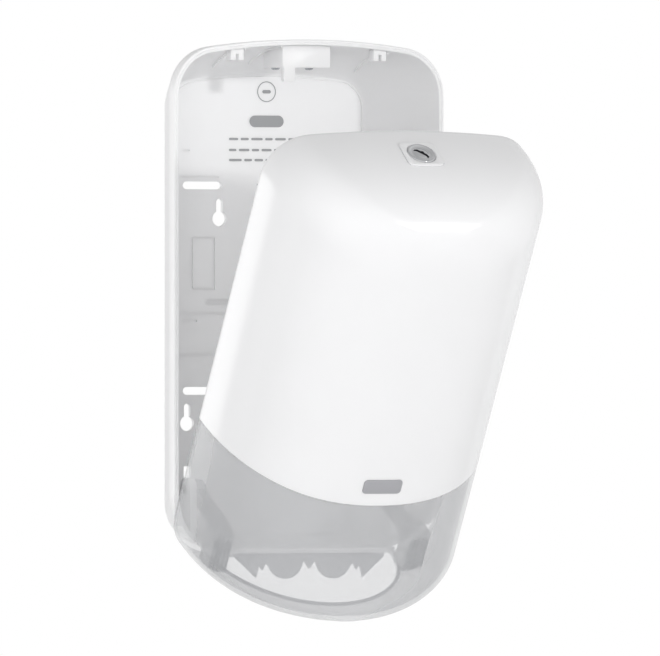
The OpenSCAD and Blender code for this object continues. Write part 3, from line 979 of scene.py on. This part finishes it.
    def moulded_lines(self) -> tuple[list[bpy.types.Mesh], list[bpy.types.Mesh]]:
        """Tools for the shallow lines pressed into the back wall's inner face.

        Returns:
            The level ones and the upright ones. They touch, and exact cuts need tools that
            don't, so the two groups are cut one after the other.
        """
        thin = self.line_wide
        level = [self.line(-64, 64, z, 1.2) for z in (127.3, 154.1)]
        level += [self.line(-43.5, 43.5, z, thin) for z in (160.6, 163.0)]
        upright = []
        for s in (-1, 1):
            level += [self.line(s * 37, s * 53.8, z, thin) for z in (170.1, 203.1)]
            level += [self.line(s * 34, s * 62, 242.5, thin), self.line(s * 50, s * 60, 149.2, 1.4)]
            level.append(self.line(s * 55, s * 60, 259.6, thin))
            upright += [self.line(s * x, s * (x + thin), 170.2, 33.6) for x in (37.1, 52.9)]
        return level, upright

    def swing(self, side: int) -> bpy.types.Mesh:
        """Space that a lower corner of the swinging cover needs, cut from the rim.

        Args:
            side: -1 for the left corner, 1 for the right one.

        Returns:
            The space as a mesh.
        """
        py, pz = FRAMES["now"].hinge()
        r = self.depth + Cover.gap + py - self.swing_gap
        full = FRAMES["now"].angle
        drop = 3.0  # how far below the hinge the sweep starts
        start = math.asin(drop / r)
        shape = arc((py, pz), r, math.pi + start, full - start, 12)
        y, z = shape[-1]
        run = 70.0  # length of the cover's edge past the sweep
        shape.append((y + run * math.sin(full), z - run * math.cos(full)))
        past = 5.0  # how far the tool stands past the rim
        shape += [(-self.depth - past, z - run), (-self.depth - past, pz - drop)]
        x0, x1 = sorted((side * self.tongue, side * (self.a + past)))
        return prism(shape, x0, x1, across_tray)

    def mark(self, x: float, z: float, long: float, wide: float) -> bpy.types.Mesh:
        """One printed mark with round ends, just in front of the back wall."""
        face = -self.back - LIFT
        return prism(self.stadium(x, z, long, wide), face, face - self.film, facing_tray)

    def ring_print(self) -> bpy.types.Mesh:
        """The printed ring.

        Returns:
            The ring as a mesh.
        """
        face = -self.back - LIFT
        z, outer, inner = self.ring_mark
        section = ((outer, face), (outer, face - self.film), (inner, face - self.film), (inner, face))
        turns = 48
        points = [in_tray(x, y, z + up) for r, y in section for x, up in circle(r, turns)]
        faces = []
        for k in range(4):
            near, far = k * turns, (k + 1) % 4 * turns
            for i in range(turns):
                j = (i + 1) % turns
                faces.append((near + i, near + j, far + j, far + i))
        return mesh_from(points, faces)

    def prints(self) -> None:
        """Plain grey marks on the back wall: a ring, a plate and rows of dashes with no meaning."""
        plates = [self.mark(0, z, long, wide) for z, long, wide in self.plates]
        marks = [plates[0], self.ring_print(), plates[1]]
        draw = random.Random(7)
        for z in self.dash_heights:
            x, end = self.dash_span
            while x < end:
                long = draw.uniform(*self.dash_long)
                marks.append(self.mark(x + long / 2, z, long, self.dash_wide))
                x += long + self.dash_gap
        marks += plates[2:]
        piece = new_piece("tray_prints", merged(marks))
        smooth(piece.data)
        dress(piece, PRINT_INK, "wall_unit", "badge_grey")

    def fittings(self) -> None:
        """Keeper, guide blocks, comb and pins, with softened edges."""
        rows = [("latch_keeper", "latch_keeper_block", 0.6, TRAY_ABS, "tray_white")]
        for side in ("left", "right"):
            rows.append((f"guide_block_{side}", f"guide_{side}", 0.5, TRAY_ABS, "tray_white"))
            rows.append((f"hinge_pin_{side}", f"pin_{side}", 0.35, STEEL_ZINC, "steel"))
        rows.append(("tear_comb", "comb_toothed", 0.25, COMB_SAN, "comb_clear"))
        for node, name, width, finish, slot in rows:
            refined(self.frame, node, name, width, finish, "wall_unit", slot)

    def build(self) -> None:
        """Build the tray and all that stays on the wall."""
        self.shell()
        self.prints()
        self.fittings()


# ---------------------------------------------------------------- cover


@dataclass
class Cover:
    """The swinging cover: white upper moulding, smoke window, arms, clips and badge.

    Attributes:
        depth: depth of the cover.
        gap: gap between the rim's face and the shut cover.
        low: height of its lower edge.
        top_gap: how far its top stays below the rim's.
        wall: wall thickness.
        corner: radius of the corners.
        rise: rise of its arched ends.
        nose: how far the top falls at the front.
        floor_rise: how far the floor rises at the front.
        plan_power: how square the cover is from above.
        nose_power: how square the top is from the side.
        floor_power: how square the floor is from the side.
        seam: height of the window's edge in the middle, and how much it rises at the sides.
        seam_gap: width of the seam.
        outlet: half width and depth of the outlet's oval.
        bead: radius of the bead round the outlet.
        bead_lift: how far the bead's middle stands over the floor.
        lock_bore: radius of the hole for the lock.
        bezel_room: room round the bezel in its pocket.
        badge_size: width and height of the badge.
        badge_rise: height of the badge's middle over the seam.
        badge_room: room round the badge in its pocket.
        foot_front: how far the hinge arms' feet reach forwards.
        foot_x: place of the innermost rib on a foot.
        foot_pitch: distance between the ribs.
        foot_rib_z: heights between which the ribs run.
        foot_slope: how much higher each of the outer ribs starts.
        a: half width of the cover.
        top: height of its top.
        rear: distance of its rear edge from the wall.
    """

    frame: dict
    depth: float = 85.7
    gap: float = 0.5
    low: float = 8.4
    top_gap: float = 6.5
    wall: float = 2.5
    corner: float = 30.0
    rise: float = 6.0
    nose: float = 55.0
    floor_rise: float = 6.0
    plan_power: float = 2.55
    nose_power: float = 2.5
    floor_power: float = 4.5
    seam: Point = (98.0, 16.0)
    seam_gap: float = 0.25
    outlet: Point = (66.0, 62.5)
    bead: float = 1.2
    bead_lift: float = 0.4
    lock_bore: float = 10.6
    bezel_room: float = 0.45
    badge_size: Point = (27.0, 10.0)
    badge_rise: float = 14.0
    badge_room: float = 0.12
    foot_front: float = 27.0
    foot_x: float = 64.6
    foot_pitch: float = 2.7
    foot_rib_z: Point = (15.0, 37.0)
    foot_slope: float = 1.4
    a: float = 0.0
    top: float = 0.0
    rear: float = 0.0

    def __post_init__(self) -> None:
        """Read the cover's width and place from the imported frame."""
        low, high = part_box("rear_housing")
        self.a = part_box("cover_shell")[1].x / MM
        self.top = (high.z - low.z) / MM - self.top_gap
        self.rear = -low.y / MM + self.gap

    @staticmethod
    def fall(q: float, deep: float, power: float) -> float:
        """How far a rounded end has fallen at depth q of deep, as a share."""
        return 1 - max(1 - (max(q, 0.0) / deep) ** power, 0.0) ** (1 / power)

    def ring(self, q: float, t: float) -> Ring:
        """One ring of the skin.

        Args:
            q: its depth from the rear edge.
            t: how far it is moved inwards.

        Returns:
            The ring.
        """
        deep = self.depth - t
        q = min(q, deep)
        a = max((self.a - t) * (1 - self.fall(q, deep, self.plan_power)), 1.0)
        r = min(self.corner - t, a * 0.9)
        rise = max(self.rise * (a / self.a) ** 2, 0.03)
        top = self.top - t - self.nose * self.fall(q, deep, self.nose_power)
        low = self.low + t + self.floor_rise * self.fall(q, deep, self.floor_power)
        return [in_cover(x, -self.rear - q, z) for x, z in Panel(a, top, low, r, r, rise, rise).points(14)]

    def skin_mesh(self) -> bpy.types.Mesh:
        """The whole skin, inside and outside, with a rounded rear edge.

        Returns:
            The skin, whose rings lie closer towards the front, where it curves more.
        """
        steps = 44
        shares = [math.sin(math.pi / 2 * i / steps) for i in range(1, steps + 1)]
        thick = self.wall
        edge = ((0.5, thick), (0.12, thick - 0.15), (0.0, thick - 0.6), (0.0, 0.6), (0.12, 0.15), (0.5, 0.0))
        rows = [((self.depth - thick) * share, thick) for share in reversed(shares)]
        rows += list(edge) + [(self.depth * share, 0.0) for share in shares]
        return skin([self.ring(q, t) for q, t in rows])

    def above_seam(self, drop: float) -> bpy.types.Mesh:
        """Everything above the window's arched edge.

        Args:
            drop: how far the edge is lowered.

        Returns:
            The space as a mesh.
        """
        mid, rise = self.seam
        shares = [i / 24 for i in range(-24, 25)]
        edge = [(share * (self.a + 2), mid - drop + rise * share**2) for share in shares]
        shape = [(-self.a - 2, 2 * self.top)] + edge + [(self.a + 2, 2 * self.top)]
        return prism(shape, -self.rear + 3, -self.rear - self.depth - 5, facing_cover)

    def badge_outline(self, grow: float) -> list[Point]:
        """Rounded outline of the badge."""
        wide, tall = self.badge_size
        return pillow((wide / 2 - tall / 4, tall / 4), tall / 4 + grow, self.seam[0] + self.badge_rise)

    def front_prism(self, shape: Sequence[Point], inner: float, outer: float) -> bpy.types.Mesh:
        """Extrude a shape through the cover's front, from inner below its surface to outer above it."""
        front = -self.rear - self.depth
        return prism(shape, front + inner, front - outer, facing_cover)

    def upper(self) -> None:
        """The white upper moulding, with its pocket for the lock and for the badge."""
        piece = new_piece("cover_upper", self.skin_mesh())
        carve(piece, self.above_seam(0.0), "INTERSECT")
        carve(piece, self.front_prism(self.badge_outline(self.badge_room), 0.7, 3))
        carve(piece, Lock.bezel_prism(self.bezel_room, Lock.bezel_foot, 4.0))
        carve(piece, prism(circle(self.lock_bore, 48), -6, 3, in_lock))
        tidy(piece)
        smooth(piece.data, 30)
        dress(piece, COVER_ABS, "cover", "cover_white", "cover_shell")

    def window(self) -> None:
        """The smoke window with its floor and the half-oval outlet."""
        piece = new_piece("cover_window", self.skin_mesh())
        carve(piece, self.above_seam(self.seam_gap))
        wide, deep = self.outlet
        oval = [(wide * x, -self.rear - deep * y) for x, y in arc((0.0, 0.0), 1.0, 0.0, math.pi, 64)]
        shape = [(wide, -self.rear + 3)] + oval + [(-wide, -self.rear + 3)]
        carve(piece, prism(shape, -5, self.low + self.wall + 12, in_cover))
        tidy(piece)
        smooth(piece.data, 30)
        dress(piece, WINDOW_SAN, "cover", "window_smoke", "window_shell")

    def outlet_bead(self) -> None:
        """Rounded bead moulded round the outlet's edge, on top of the floor."""
        r = self.bead
        wide, deep = (size + r for size in self.outlet)
        big = (self.a**2 + self.rise**2) / (2 * self.rise)
        steps = 72
        inset = 0.03  # share of the half turn left free at each end
        section = circle(r, 10)
        rings = []
        for i in range(steps + 1):
            t = math.pi * (inset + (1 - 2 * inset) * i / steps)
            x, q = wide * math.cos(t), deep * math.sin(t)
            bow = x * x / (2 * big) + self.floor_rise * self.fall(q, self.depth, self.floor_power)
            floor = self.low + self.wall + bow + self.bead_lift
            out = Vector((math.cos(t) / wide, math.sin(t) / deep, 0)).normalized()
            ring = [(x + w * out.x, -self.rear - q - w * out.y, floor + h) for w, h in section]
            rings.append([in_cover(*place) for place in ring])
        piece = new_piece("outlet_bead", skin(rings))
        smooth(piece.data, 50)
        dress(piece, COMB_SAN, "cover", "window_smoke")

    def badge(self) -> None:
        """The blank badge, with a softly domed edge."""
        piece = new_piece("badge_blank", self.front_prism(self.badge_outline(0.0), 0.68, 0.35))
        soften(piece, 0.25)
        smooth(piece.data, 40)
        dress(piece, BADGE_ABS, "cover", "badge_grey", "badge")

    def foot_ribs(self) -> None:
        """Upright ribs on the front of each arm's foot."""
        front, tall = -self.rear - self.foot_front, self.foot_rib_z
        bars = []
        for side in (-1, 1):
            for i in range(5):
                x = side * (self.foot_x + i * self.foot_pitch)
                shape = [(x - 0.6, front + 0.6), (x + 0.6, front + 0.6)]
                shape += [(x + 0.4, front - 0.9), (x - 0.4, front - 0.9)]
                bars.append(prism(shape, tall[0] + self.foot_slope * max(i - 2, 0), tall[1], in_cover))
        piece = new_piece("foot_ribs", merged(bars))
        soften(piece, 0.15)
        smooth(piece.data, 40)
        dress(piece, LATCH_POM, "cover", "inner_white")

    def fittings(self) -> None:
        """Arms and clips, with softened edges."""
        for side in ("left", "right"):
            refined(self.frame, f"hinge_arm_{side}", f"arm_{side}", 0.35, FOOT_SAN, "cover", "inner_white")
        refined(self.frame, "window_clips", "seam_clips", 0.3, INNER_POM, "cover", "inner_white")

    def build(self) -> None:
        """Build the cover and its fittings."""
        self.upper()
        self.window()
        self.outlet_bead()
        self.badge()
        self.foot_ribs()
        self.fittings()


# ---------------------------------------------------------------- lock


@dataclass
class Lock:
    """The key lock: bezel, plug, housing, base, cam and latch.

    Attributes:
        bezel: width and depth of the bezel.
        bezel_r: radius of its corners.
        bezel_foot: level of its underside.
        bezel_top: level of its face.
        plug_room: room round the plug.
        plug_r: radius of the plug.
        plug_top: level of the plug's rim.
        plug_low: level of the plug's inner end.
        slot_turn: angle of the key slot, in degrees.
        slot_floor: level of the dark sheet of painted shade in the key slot.
    """

    frame: dict
    bezel: Point = (25.0, 24.0)
    bezel_r: float = 4.0
    bezel_foot: float = -0.6
    bezel_top: float = 0.75
    plug_room: float = 0.35
    plug_r: float = 9.35
    plug_top: float = 1.2
    plug_low: float = -13.0
    slot_turn: float = 45.0
    slot_floor: float = -2.2

    @classmethod
    def bezel_prism(cls, room: float, low: float, high: float) -> bpy.types.Mesh:
        """Extrude the bezel's rounded square between two levels of the lock.

        Args:
            room: how far it is grown outwards.
            low: first level.
            high: second level.

        Returns:
            The mesh.
        """
        wide, deep = cls.bezel
        shape = pillow((wide / 2 - cls.bezel_r, deep / 2 - cls.bezel_r), cls.bezel_r + room)
        return prism(shape, low, high, in_lock)

    @staticmethod
    def ring(r: float, z: float, turns: int = 64) -> Ring:
        """Ring of the lock at radius r and level z."""
        return [in_lock(x, y, z) for x, y in circle(r, turns)]

    def plate(self) -> None:
        """The bezel plate, with its round opening."""
        piece = new_piece("bezel_plate", self.bezel_prism(0.0, self.bezel_foot, self.bezel_top))
        carve(piece, skin([self.ring(self.plug_r + self.plug_room, z) for z in (-3.0, 3.0)]))
        soften(piece, 0.3)
        smooth(piece.data, 40)
        dress(piece, COVER_ABS, "cover", "bezel_white", "lock_bezel")

    def plug(self) -> None:
        """The chrome key plug: a rolled rim, a dished face, a raised core and its key slot, whose lower part
        holds a dark sheet of painted shade.
        """
        r = self.plug_r
        top = self.plug_top
        rows = [(r, self.plug_low), (r, 0.6), (r - 0.15, 0.95), (r - 0.6, top), (r - 1.1, top - 0.05)]
        rows += [(r - 1.6, 0.75), (r - 2.1, 0.35), (r - 3.2, 0.15), (r - 4.3, 0.3)]
        rows += [(4.3, 0.75), (3.9, 0.95), (3.4, 1.05)]
        piece = new_piece("key_plug_chrome", skin([self.ring(a, z) for a, z in rows]))
        slot = self.slot_outline()
        carve(piece, prism(slot, -5, 3, in_lock))
        carve(piece, skin([self.ring(1.5, z, 24) for z in (-15, -9)]))
        tidy(piece)
        smooth(piece.data, 40)
        dress(piece, LOCK_CHROME, "key", "lock_chrome", "key_plug")
        # painted shade: a dark sheet fills the slot's lower part in place of the keyway's deep shadow
        dark = new_piece("key_slot_floor", prism(slot, -4.99, self.slot_floor, in_lock))
        dress(dark, SLOT_PAINTED_SHADE, "key", "lock_zinc")

    def slot_outline(self) -> list[Point]:
        """Outline of the key slot: a straight slot with a wider middle, turned in the plug.

        Returns:
            The outline.
        """
        shape = [(-1.1, -5.4), (1.1, -5.4), (1.1, -1.2), (2.0, -0.6), (2.0, 0.6)]
        shape += [(1.1, 1.2), (1.1, 5.4), (-1.1, 5.4), (-1.1, -0.6)]
        turn = Matrix.Rotation(math.radians(self.slot_turn), 4, "Z")
        return [tuple((turn @ Vector((x, y, 0))).to_2d()) for x, y in shape]

    def works(self) -> None:
        """Housing, base, cam and latch, with softened edges."""
        rows = (
            ("lock_housing", "lock_body", 0.35, INNER_POM, "cover", "inner_white"),
            ("lock_base", "lock_floor", 0.35, INNER_POM, "cover", "inner_white"),
            ("lock_cam", "cam_disc", 0.2, CAM_ZINC, "key", "lock_zinc"),
            ("latch_slide", "latch_plate", 0.3, LATCH_POM, "latch", "latch_grey"),
        )
        for row in rows:
            refined(self.frame, *row)

    def build(self) -> None:
        """Build the lock."""
        self.plate()
        self.plug()
        self.works()


# ---------------------------------------------------------------- repeated pieces


def tree_with(name: str, sizes: dict[str, float]) -> tuple[bpy.types.NodeTree, bpy.types.Node]:
    """Start a geometry tree with named number inputs.

    Args:
        name: the tree's name.
        sizes: input name to default value.

    Returns:
        The tree and its input node.
    """
    tree = bpy.data.node_groups.new(name, "GeometryNodeTree")
    tree.interface.new_socket("Geometry", in_out="INPUT", socket_type="NodeSocketGeometry")
    for label, value in sizes.items():
        socket = tree.interface.new_socket(label, in_out="INPUT", socket_type="NodeSocketFloat")
        socket.default_value = value
    tree.interface.new_socket("Geometry", in_out="OUTPUT", socket_type="NodeSocketGeometry")
    return tree, add_node(tree, "NodeGroupInput")


def close_tree(tree: bpy.types.NodeTree, geometry: bpy.types.NodeSocket, finish: Finish) -> None:
    """End a tree: real geometry, material, output.

    Args:
        tree: the tree to end.
        geometry: the socket with its result.
        finish: the material.
    """
    real = add_node(tree, "GeometryNodeRealizeInstances", {"Geometry": geometry}).outputs["Geometry"]
    painted = add_node(tree, "GeometryNodeSetMaterial", {"Geometry": real, "Material": finish.material()})
    add_node(tree, "NodeGroupOutput", {"Geometry": painted.outputs["Geometry"]})


def grow(piece: bpy.types.Object, tree: bpy.types.NodeTree, sizes: dict[str, float]) -> None:
    """Run a geometry tree on a piece, and keep the plain mesh.

    Args:
        piece: the object to change.
        tree: the geometry tree.
        sizes: input name to value.
    """
    change = piece.modifiers.new("grow", "NODES")
    change.node_group = tree
    for item in tree.interface.items_tree:
        if item.item_type == "SOCKET" and item.in_out == "INPUT" and item.name in sizes:
            change[item.identifier] = sizes[item.name]
    with_modifiers(piece)


@dataclass
class Screws:
    """Cross-head screws, set in place on points by one geometry tree.

    Attributes:
        head_r: radius of the head.
        head_h: height of the head.
        shank_r: radius over the thread.
        crest: depth of the thread.
        pitch: distance between its turns.
        neck: length of the plain neck under the head.
        cross: half length and half width of the driver's cross.
        cross_deep: depth of the cross.
    """

    frame: dict
    head_r: float = 2.8
    head_h: float = 1.3
    shank_r: float = 1.5
    crest: float = 0.08
    pitch: float = 0.9
    neck: float = 0.6
    cross: Point = (1.5, 0.28)
    cross_deep: float = 0.8

    def pattern(self, long: float) -> bpy.types.Object:
        """One screw with its head at the origin and its shank along +Z.

        Args:
            long: length of the shank, in millimetres.

        Returns:
            The object that the tree copies.
        """
        head = ((0.9, 1.0), (1.7, 0.97), (2.3, 0.8), (2.65, 0.5), (self.head_r, 0.15), (self.head_r, 0.0))
        rows = [(r, -self.head_h * share) for r, share in head]
        rows += [(self.shank_r, 0.0), (self.shank_r, self.neck)]
        steps = 2 * int(long / self.pitch)
        for i in range(1, steps):
            r = self.shank_r - (self.crest if i % 2 else 0.0)
            rows.append((r, self.neck + (long - 2 * self.neck) * i / steps))
        rows.append((0.5, long))
        rings = [[at_origin(x, y, z) for x, y in circle(r, 20)] for r, z in rows]
        piece = new_piece("screw_pattern", skin(rings))
        long_arm, arm = self.cross
        arms = [(long_arm, arm), (arm, arm), (arm, long_arm)]
        quarters = ((1, 1, 1), (-1, 1, -1), (-1, -1, 1), (1, -1, -1))
        cross = [(sx * a, sy * b) for sx, sy, order in quarters for a, b in arms[::order]]
        carve(piece, prism(cross, -self.head_h - 1, -self.head_h + self.cross_deep, at_origin))
        smooth(piece.data, 35)
        return piece

    def tree(self, pattern: bpy.types.Object) -> bpy.types.NodeTree:
        """The tree that puts a copy of the pattern on each point, turned about X.

        Args:
            pattern: the screw to copy.

        Returns:
            The tree, with inputs Tilt and Size.
        """
        tree, start = tree_with("screws", {"Tilt": 0.0, "Size": 1.0})
        source = add_node(tree, "GeometryNodeObjectInfo", {"Object": pattern})
        turn = add_node(tree, "ShaderNodeCombineXYZ", {"X": start.outputs["Tilt"]})
        copies = add_node(
            tree,
            "GeometryNodeInstanceOnPoints",
            {
                "Points": start.outputs["Geometry"],
                "Instance": source.outputs["Geometry"],
                "Rotation": turn.outputs["Vector"],
                "Scale": start.outputs["Size"],
            },
        )
        close_tree(tree, copies.outputs["Instances"], STEEL_ZINC)
        return tree

    def row(self, node: str, place: Matrix, count: int) -> bpy.types.Mesh:
        """Grow the screws of one node, which stand in a row along X.

        Args:
            node: the node of plain screws.
            place: the frame whose z runs along the screws.
            count: how many screws the row has.

        Returns:
            The grown screws as one mesh.
        """
        low, high = local_box(self.frame, node, place)
        head = (high.y - low.y) / 2
        size = head / (self.head_r * MM)
        seat = low.z + self.head_h * MM * size
        span = high.x - low.x - 2 * head
        middle = (low.y + high.y) / 2
        along = [low.x + head + span * i / (count - 1) for i in range(count)]
        spots = [place @ Vector((x, middle, seat)) for x in along]
        mesh = bpy.data.meshes.new(node)
        mesh.from_pydata([tuple(p) for p in spots], [], [])
        piece = new_piece(node, mesh)
        pattern = self.pattern((high.z - seat) / MM / size)
        grow(piece, self.tree(pattern), {"Tilt": place.to_euler().x, "Size": size})
        grown = piece.data
        bpy.data.objects.remove(pattern)
        bpy.data.objects.remove(piece)
        return grown

    def build(self) -> None:
        """Build the screws of each body as one piece."""
        frames = FRAMES["now"]
        level = Matrix.Identity(4)
        bodies = (
            ("wall_fixings", "wall_unit", (("keeper_screws", level, 2), ("comb_screws", level, 3))),
            ("cover_fixings", "cover", (("arm_screws", frames.cover, 2), ("lock_screws", frames.lock, 2))),
        )
        for name, body, rows in bodies:
            piece = new_piece(name, merged([self.row(*row) for row in rows]))
            smooth(piece.data, 35)
            dress(piece, STEEL_ZINC, body, "steel", *(row[0] for row in rows))
        refined(self.frame, "cam_screw", "cam_fixing", 0.2, STEEL_ZINC, "key", "steel")


@dataclass
class Spring:
    """The latch's coil spring, a helix grown by a geometry tree.

    Attributes:
        turns: number of turns.
        wire: radius of the wire.
    """

    frame: dict
    turns: float = 5.0
    wire: float = 0.35

    def build(self) -> None:
        """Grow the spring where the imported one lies."""
        place = FRAMES["now"].lock
        low, high = local_box(self.frame, "latch_spring", place)
        wire = self.wire * MM
        r = (high.y - low.y) / 2 - wire
        long = high.x - low.x - 2 * wire
        sizes = {"Radius": r, "Length": long, "Turns": self.turns, "Wire": wire}
        tree, start = tree_with("coil", sizes)
        helix = add_node(
            tree,
            "GeometryNodeCurveSpiral",
            {
                "Resolution": 28,
                "Rotations": start.outputs["Turns"],
                "Start Radius": start.outputs["Radius"],
                "End Radius": start.outputs["Radius"],
                "Height": start.outputs["Length"],
            },
        )
        section = add_node(
            tree, "GeometryNodeCurvePrimitiveCircle", {"Resolution": 10, "Radius": start.outputs["Wire"]}
        )
        tube = add_node(
            tree,
            "GeometryNodeCurveToMesh",
            {"Curve": helix.outputs["Curve"], "Profile Curve": section.outputs["Curve"], "Fill Caps": True},
        )
        close_tree(tree, tube.outputs["Mesh"], STEEL_ZINC)
        piece = new_piece("latch_coil", bpy.data.meshes.new("latch_coil"))
        grow(piece, tree, sizes)
        along = Matrix.Rotation(math.pi / 2, 4, "Y")
        middle = (low + high) / 2
        piece.data.transform(place @ Matrix.Translation((low.x + wire, middle.y, middle.z)) @ along)
        piece.data.update()
        smooth(piece.data, 60)
        dress(piece, STEEL_ZINC, "latch", "steel", "latch_spring")


# ---------------------------------------------------------------- studio


@dataclass
class Studio:
    """Plain pale floor, soft lights, pale surroundings and the camera.

    Attributes:
        azimuth: angle of the view from straight ahead, to the left, in degrees.
        distance: distance of the camera, in metres.
        lens: focal length, long enough for a nearly parallel view.
        sensor: width of the camera's sensor.
        aim_right: how far right of the tray's middle the camera aims.
        aim_height: height that it aims at.
        sky: brightness of the surroundings overhead.
        ground: brightness of the surroundings below.
        key: power of the key light, in watts.
        lift: power of the light from below.
        front: power of the light from the front.
        edge: power of the light from behind.
        floor_half: half the floor's side, in metres.
        floor_level: height of the floor, in metres.
    """

    azimuth: float = 26.07
    distance: float = 10.5
    lens: float = 885.0
    sensor: float = 36.0
    aim_right: float = 41.1
    aim_height: float = 145.3
    sky: float = 0.44
    ground: float = 1.24
    key: float = 14.0
    lift: float = 34.0
    front: float = 8.5
    edge: float = 7.0
    floor_half: float = 3.0
    floor_level: float = -1.25

    def look(self, item: bpy.types.Object, spot: Vector) -> None:
        """Turn a light or the camera to face a spot."""
        item.rotation_euler = (spot - item.location).to_track_quat("-Z", "Y").to_euler()

    def camera(self) -> None:
        """A long lens at the height of the object's middle, from the left."""
        turn = math.radians(self.azimuth)
        right = Vector((math.cos(turn), -math.sin(turn), 0))
        back = Vector((-math.sin(turn), -math.cos(turn), 0))
        spot = in_tray(0, -3, self.aim_height) + right * self.aim_right * MM
        data = bpy.data.cameras.new("camera")
        data.lens = self.lens
        data.sensor_width = self.sensor
        data.clip_start = 0.5
        data.clip_end = 100.0
        item = bpy.data.objects.new("camera", data)
        bpy.context.scene.collection.objects.link(item)
        item.location = spot + back * self.distance
        self.look(item, spot)
        bpy.context.scene.camera = item

    def light(self, name: str, spot: Vector, size: float, watts: float, mirrored: bool = False) -> None:
        """One square soft box, turned to the object.

        Args:
            name: the light's name.
            spot: where it stands, in metres.
            size: its side, in metres.
            watts: its power.
            mirrored: whether gloss shows it.
        """
        data = bpy.data.lights.new(name, "AREA")
        data.size = size
        data.energy = watts
        item = bpy.data.objects.new(name, data)
        bpy.context.scene.collection.objects.link(item)
        item.location = spot
        item.visible_glossy = mirrored
        self.look(item, Vector((0, -0.1, -0.05)))

    def surroundings(self) -> None:
        """White surroundings: plain white to the lens, and to the object brighter from below than above."""
        world = bpy.data.worlds.new("surroundings")
        bpy.context.scene.world = world
        world.use_nodes = True
        tree = world.node_tree
        tree.nodes.clear()
        ray = add_node(tree, "ShaderNodeLightPath")
        shown = add_node(tree, "ShaderNodeBackground", {"Color": (1, 1, 1, 1), "Strength": 1.0})
        way = add_node(tree, "ShaderNodeTexCoord").outputs["Generated"]
        up = add_node(tree, "ShaderNodeSeparateXYZ", {"Vector": way}).outputs["Z"]
        level = add_node(
            tree,
            "ShaderNodeMapRange",
            {"Value": up, "From Min": -1.0, "From Max": 1.0, "To Min": self.ground, "To Max": self.sky},
        )
        glow = level.outputs["Result"]
        lit = add_node(tree, "ShaderNodeBackground", {"Color": (1, 1, 1, 1), "Strength": glow})
        seen = ray.outputs["Is Camera Ray"]
        both = add_node(tree, "ShaderNodeMixShader", {0: seen, 1: lit.outputs[0], 2: shown.outputs[0]})
        add_node(tree, "ShaderNodeOutputWorld", {"Surface": both.outputs[0]})

    def floor(self) -> None:
        """A pale floor well below the object."""
        half, level = self.floor_half, self.floor_level
        corners = ((-half, -half), (half, -half), (half, half), (-half, half))
        points = [Vector((x, y, level)) for x, y in corners]
        piece = new_piece("floor", mesh_from(points, [(0, 1, 2, 3)]))
        paint = Finish("floor_pale_matt", "#F2F2F2", 0.8, Texture.SPARK, 4.0, 0.02, 0.02)
        piece.data.materials.append(paint.material())

    def build(self) -> None:
        """Build the studio."""
        bpy.context.scene.view_settings.view_transform = "Standard"
        self.camera()
        self.surroundings()
        self.floor()
        self.light("key_light", Vector((1.25, -3.0, 0.42)), 0.2, self.key, mirrored=True)
        self.light("edge_light", Vector((-1.7, 2.5, -0.2)), 1.2, self.edge, mirrored=True)
        self.light("lift_light", Vector((-1.5, -1.9, -1.5)), 1.8, self.lift)
        self.light("front_light", Vector((-1.2, -2.6, 0.1)), 1.5, self.front)


def main() -> None:
    """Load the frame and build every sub-assembly in order."""
    logging.basicConfig(level=logging.INFO, format="%(name)s %(message)s")
    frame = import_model()
    FRAMES["now"] = Frames(frame)
    Studio().build()
    Tray(frame).build()
    Cover(frame).build()
    Lock(frame).build()
    Screws(frame).build()
    Spring(frame).build()


if __name__ == "__main__":
    main()
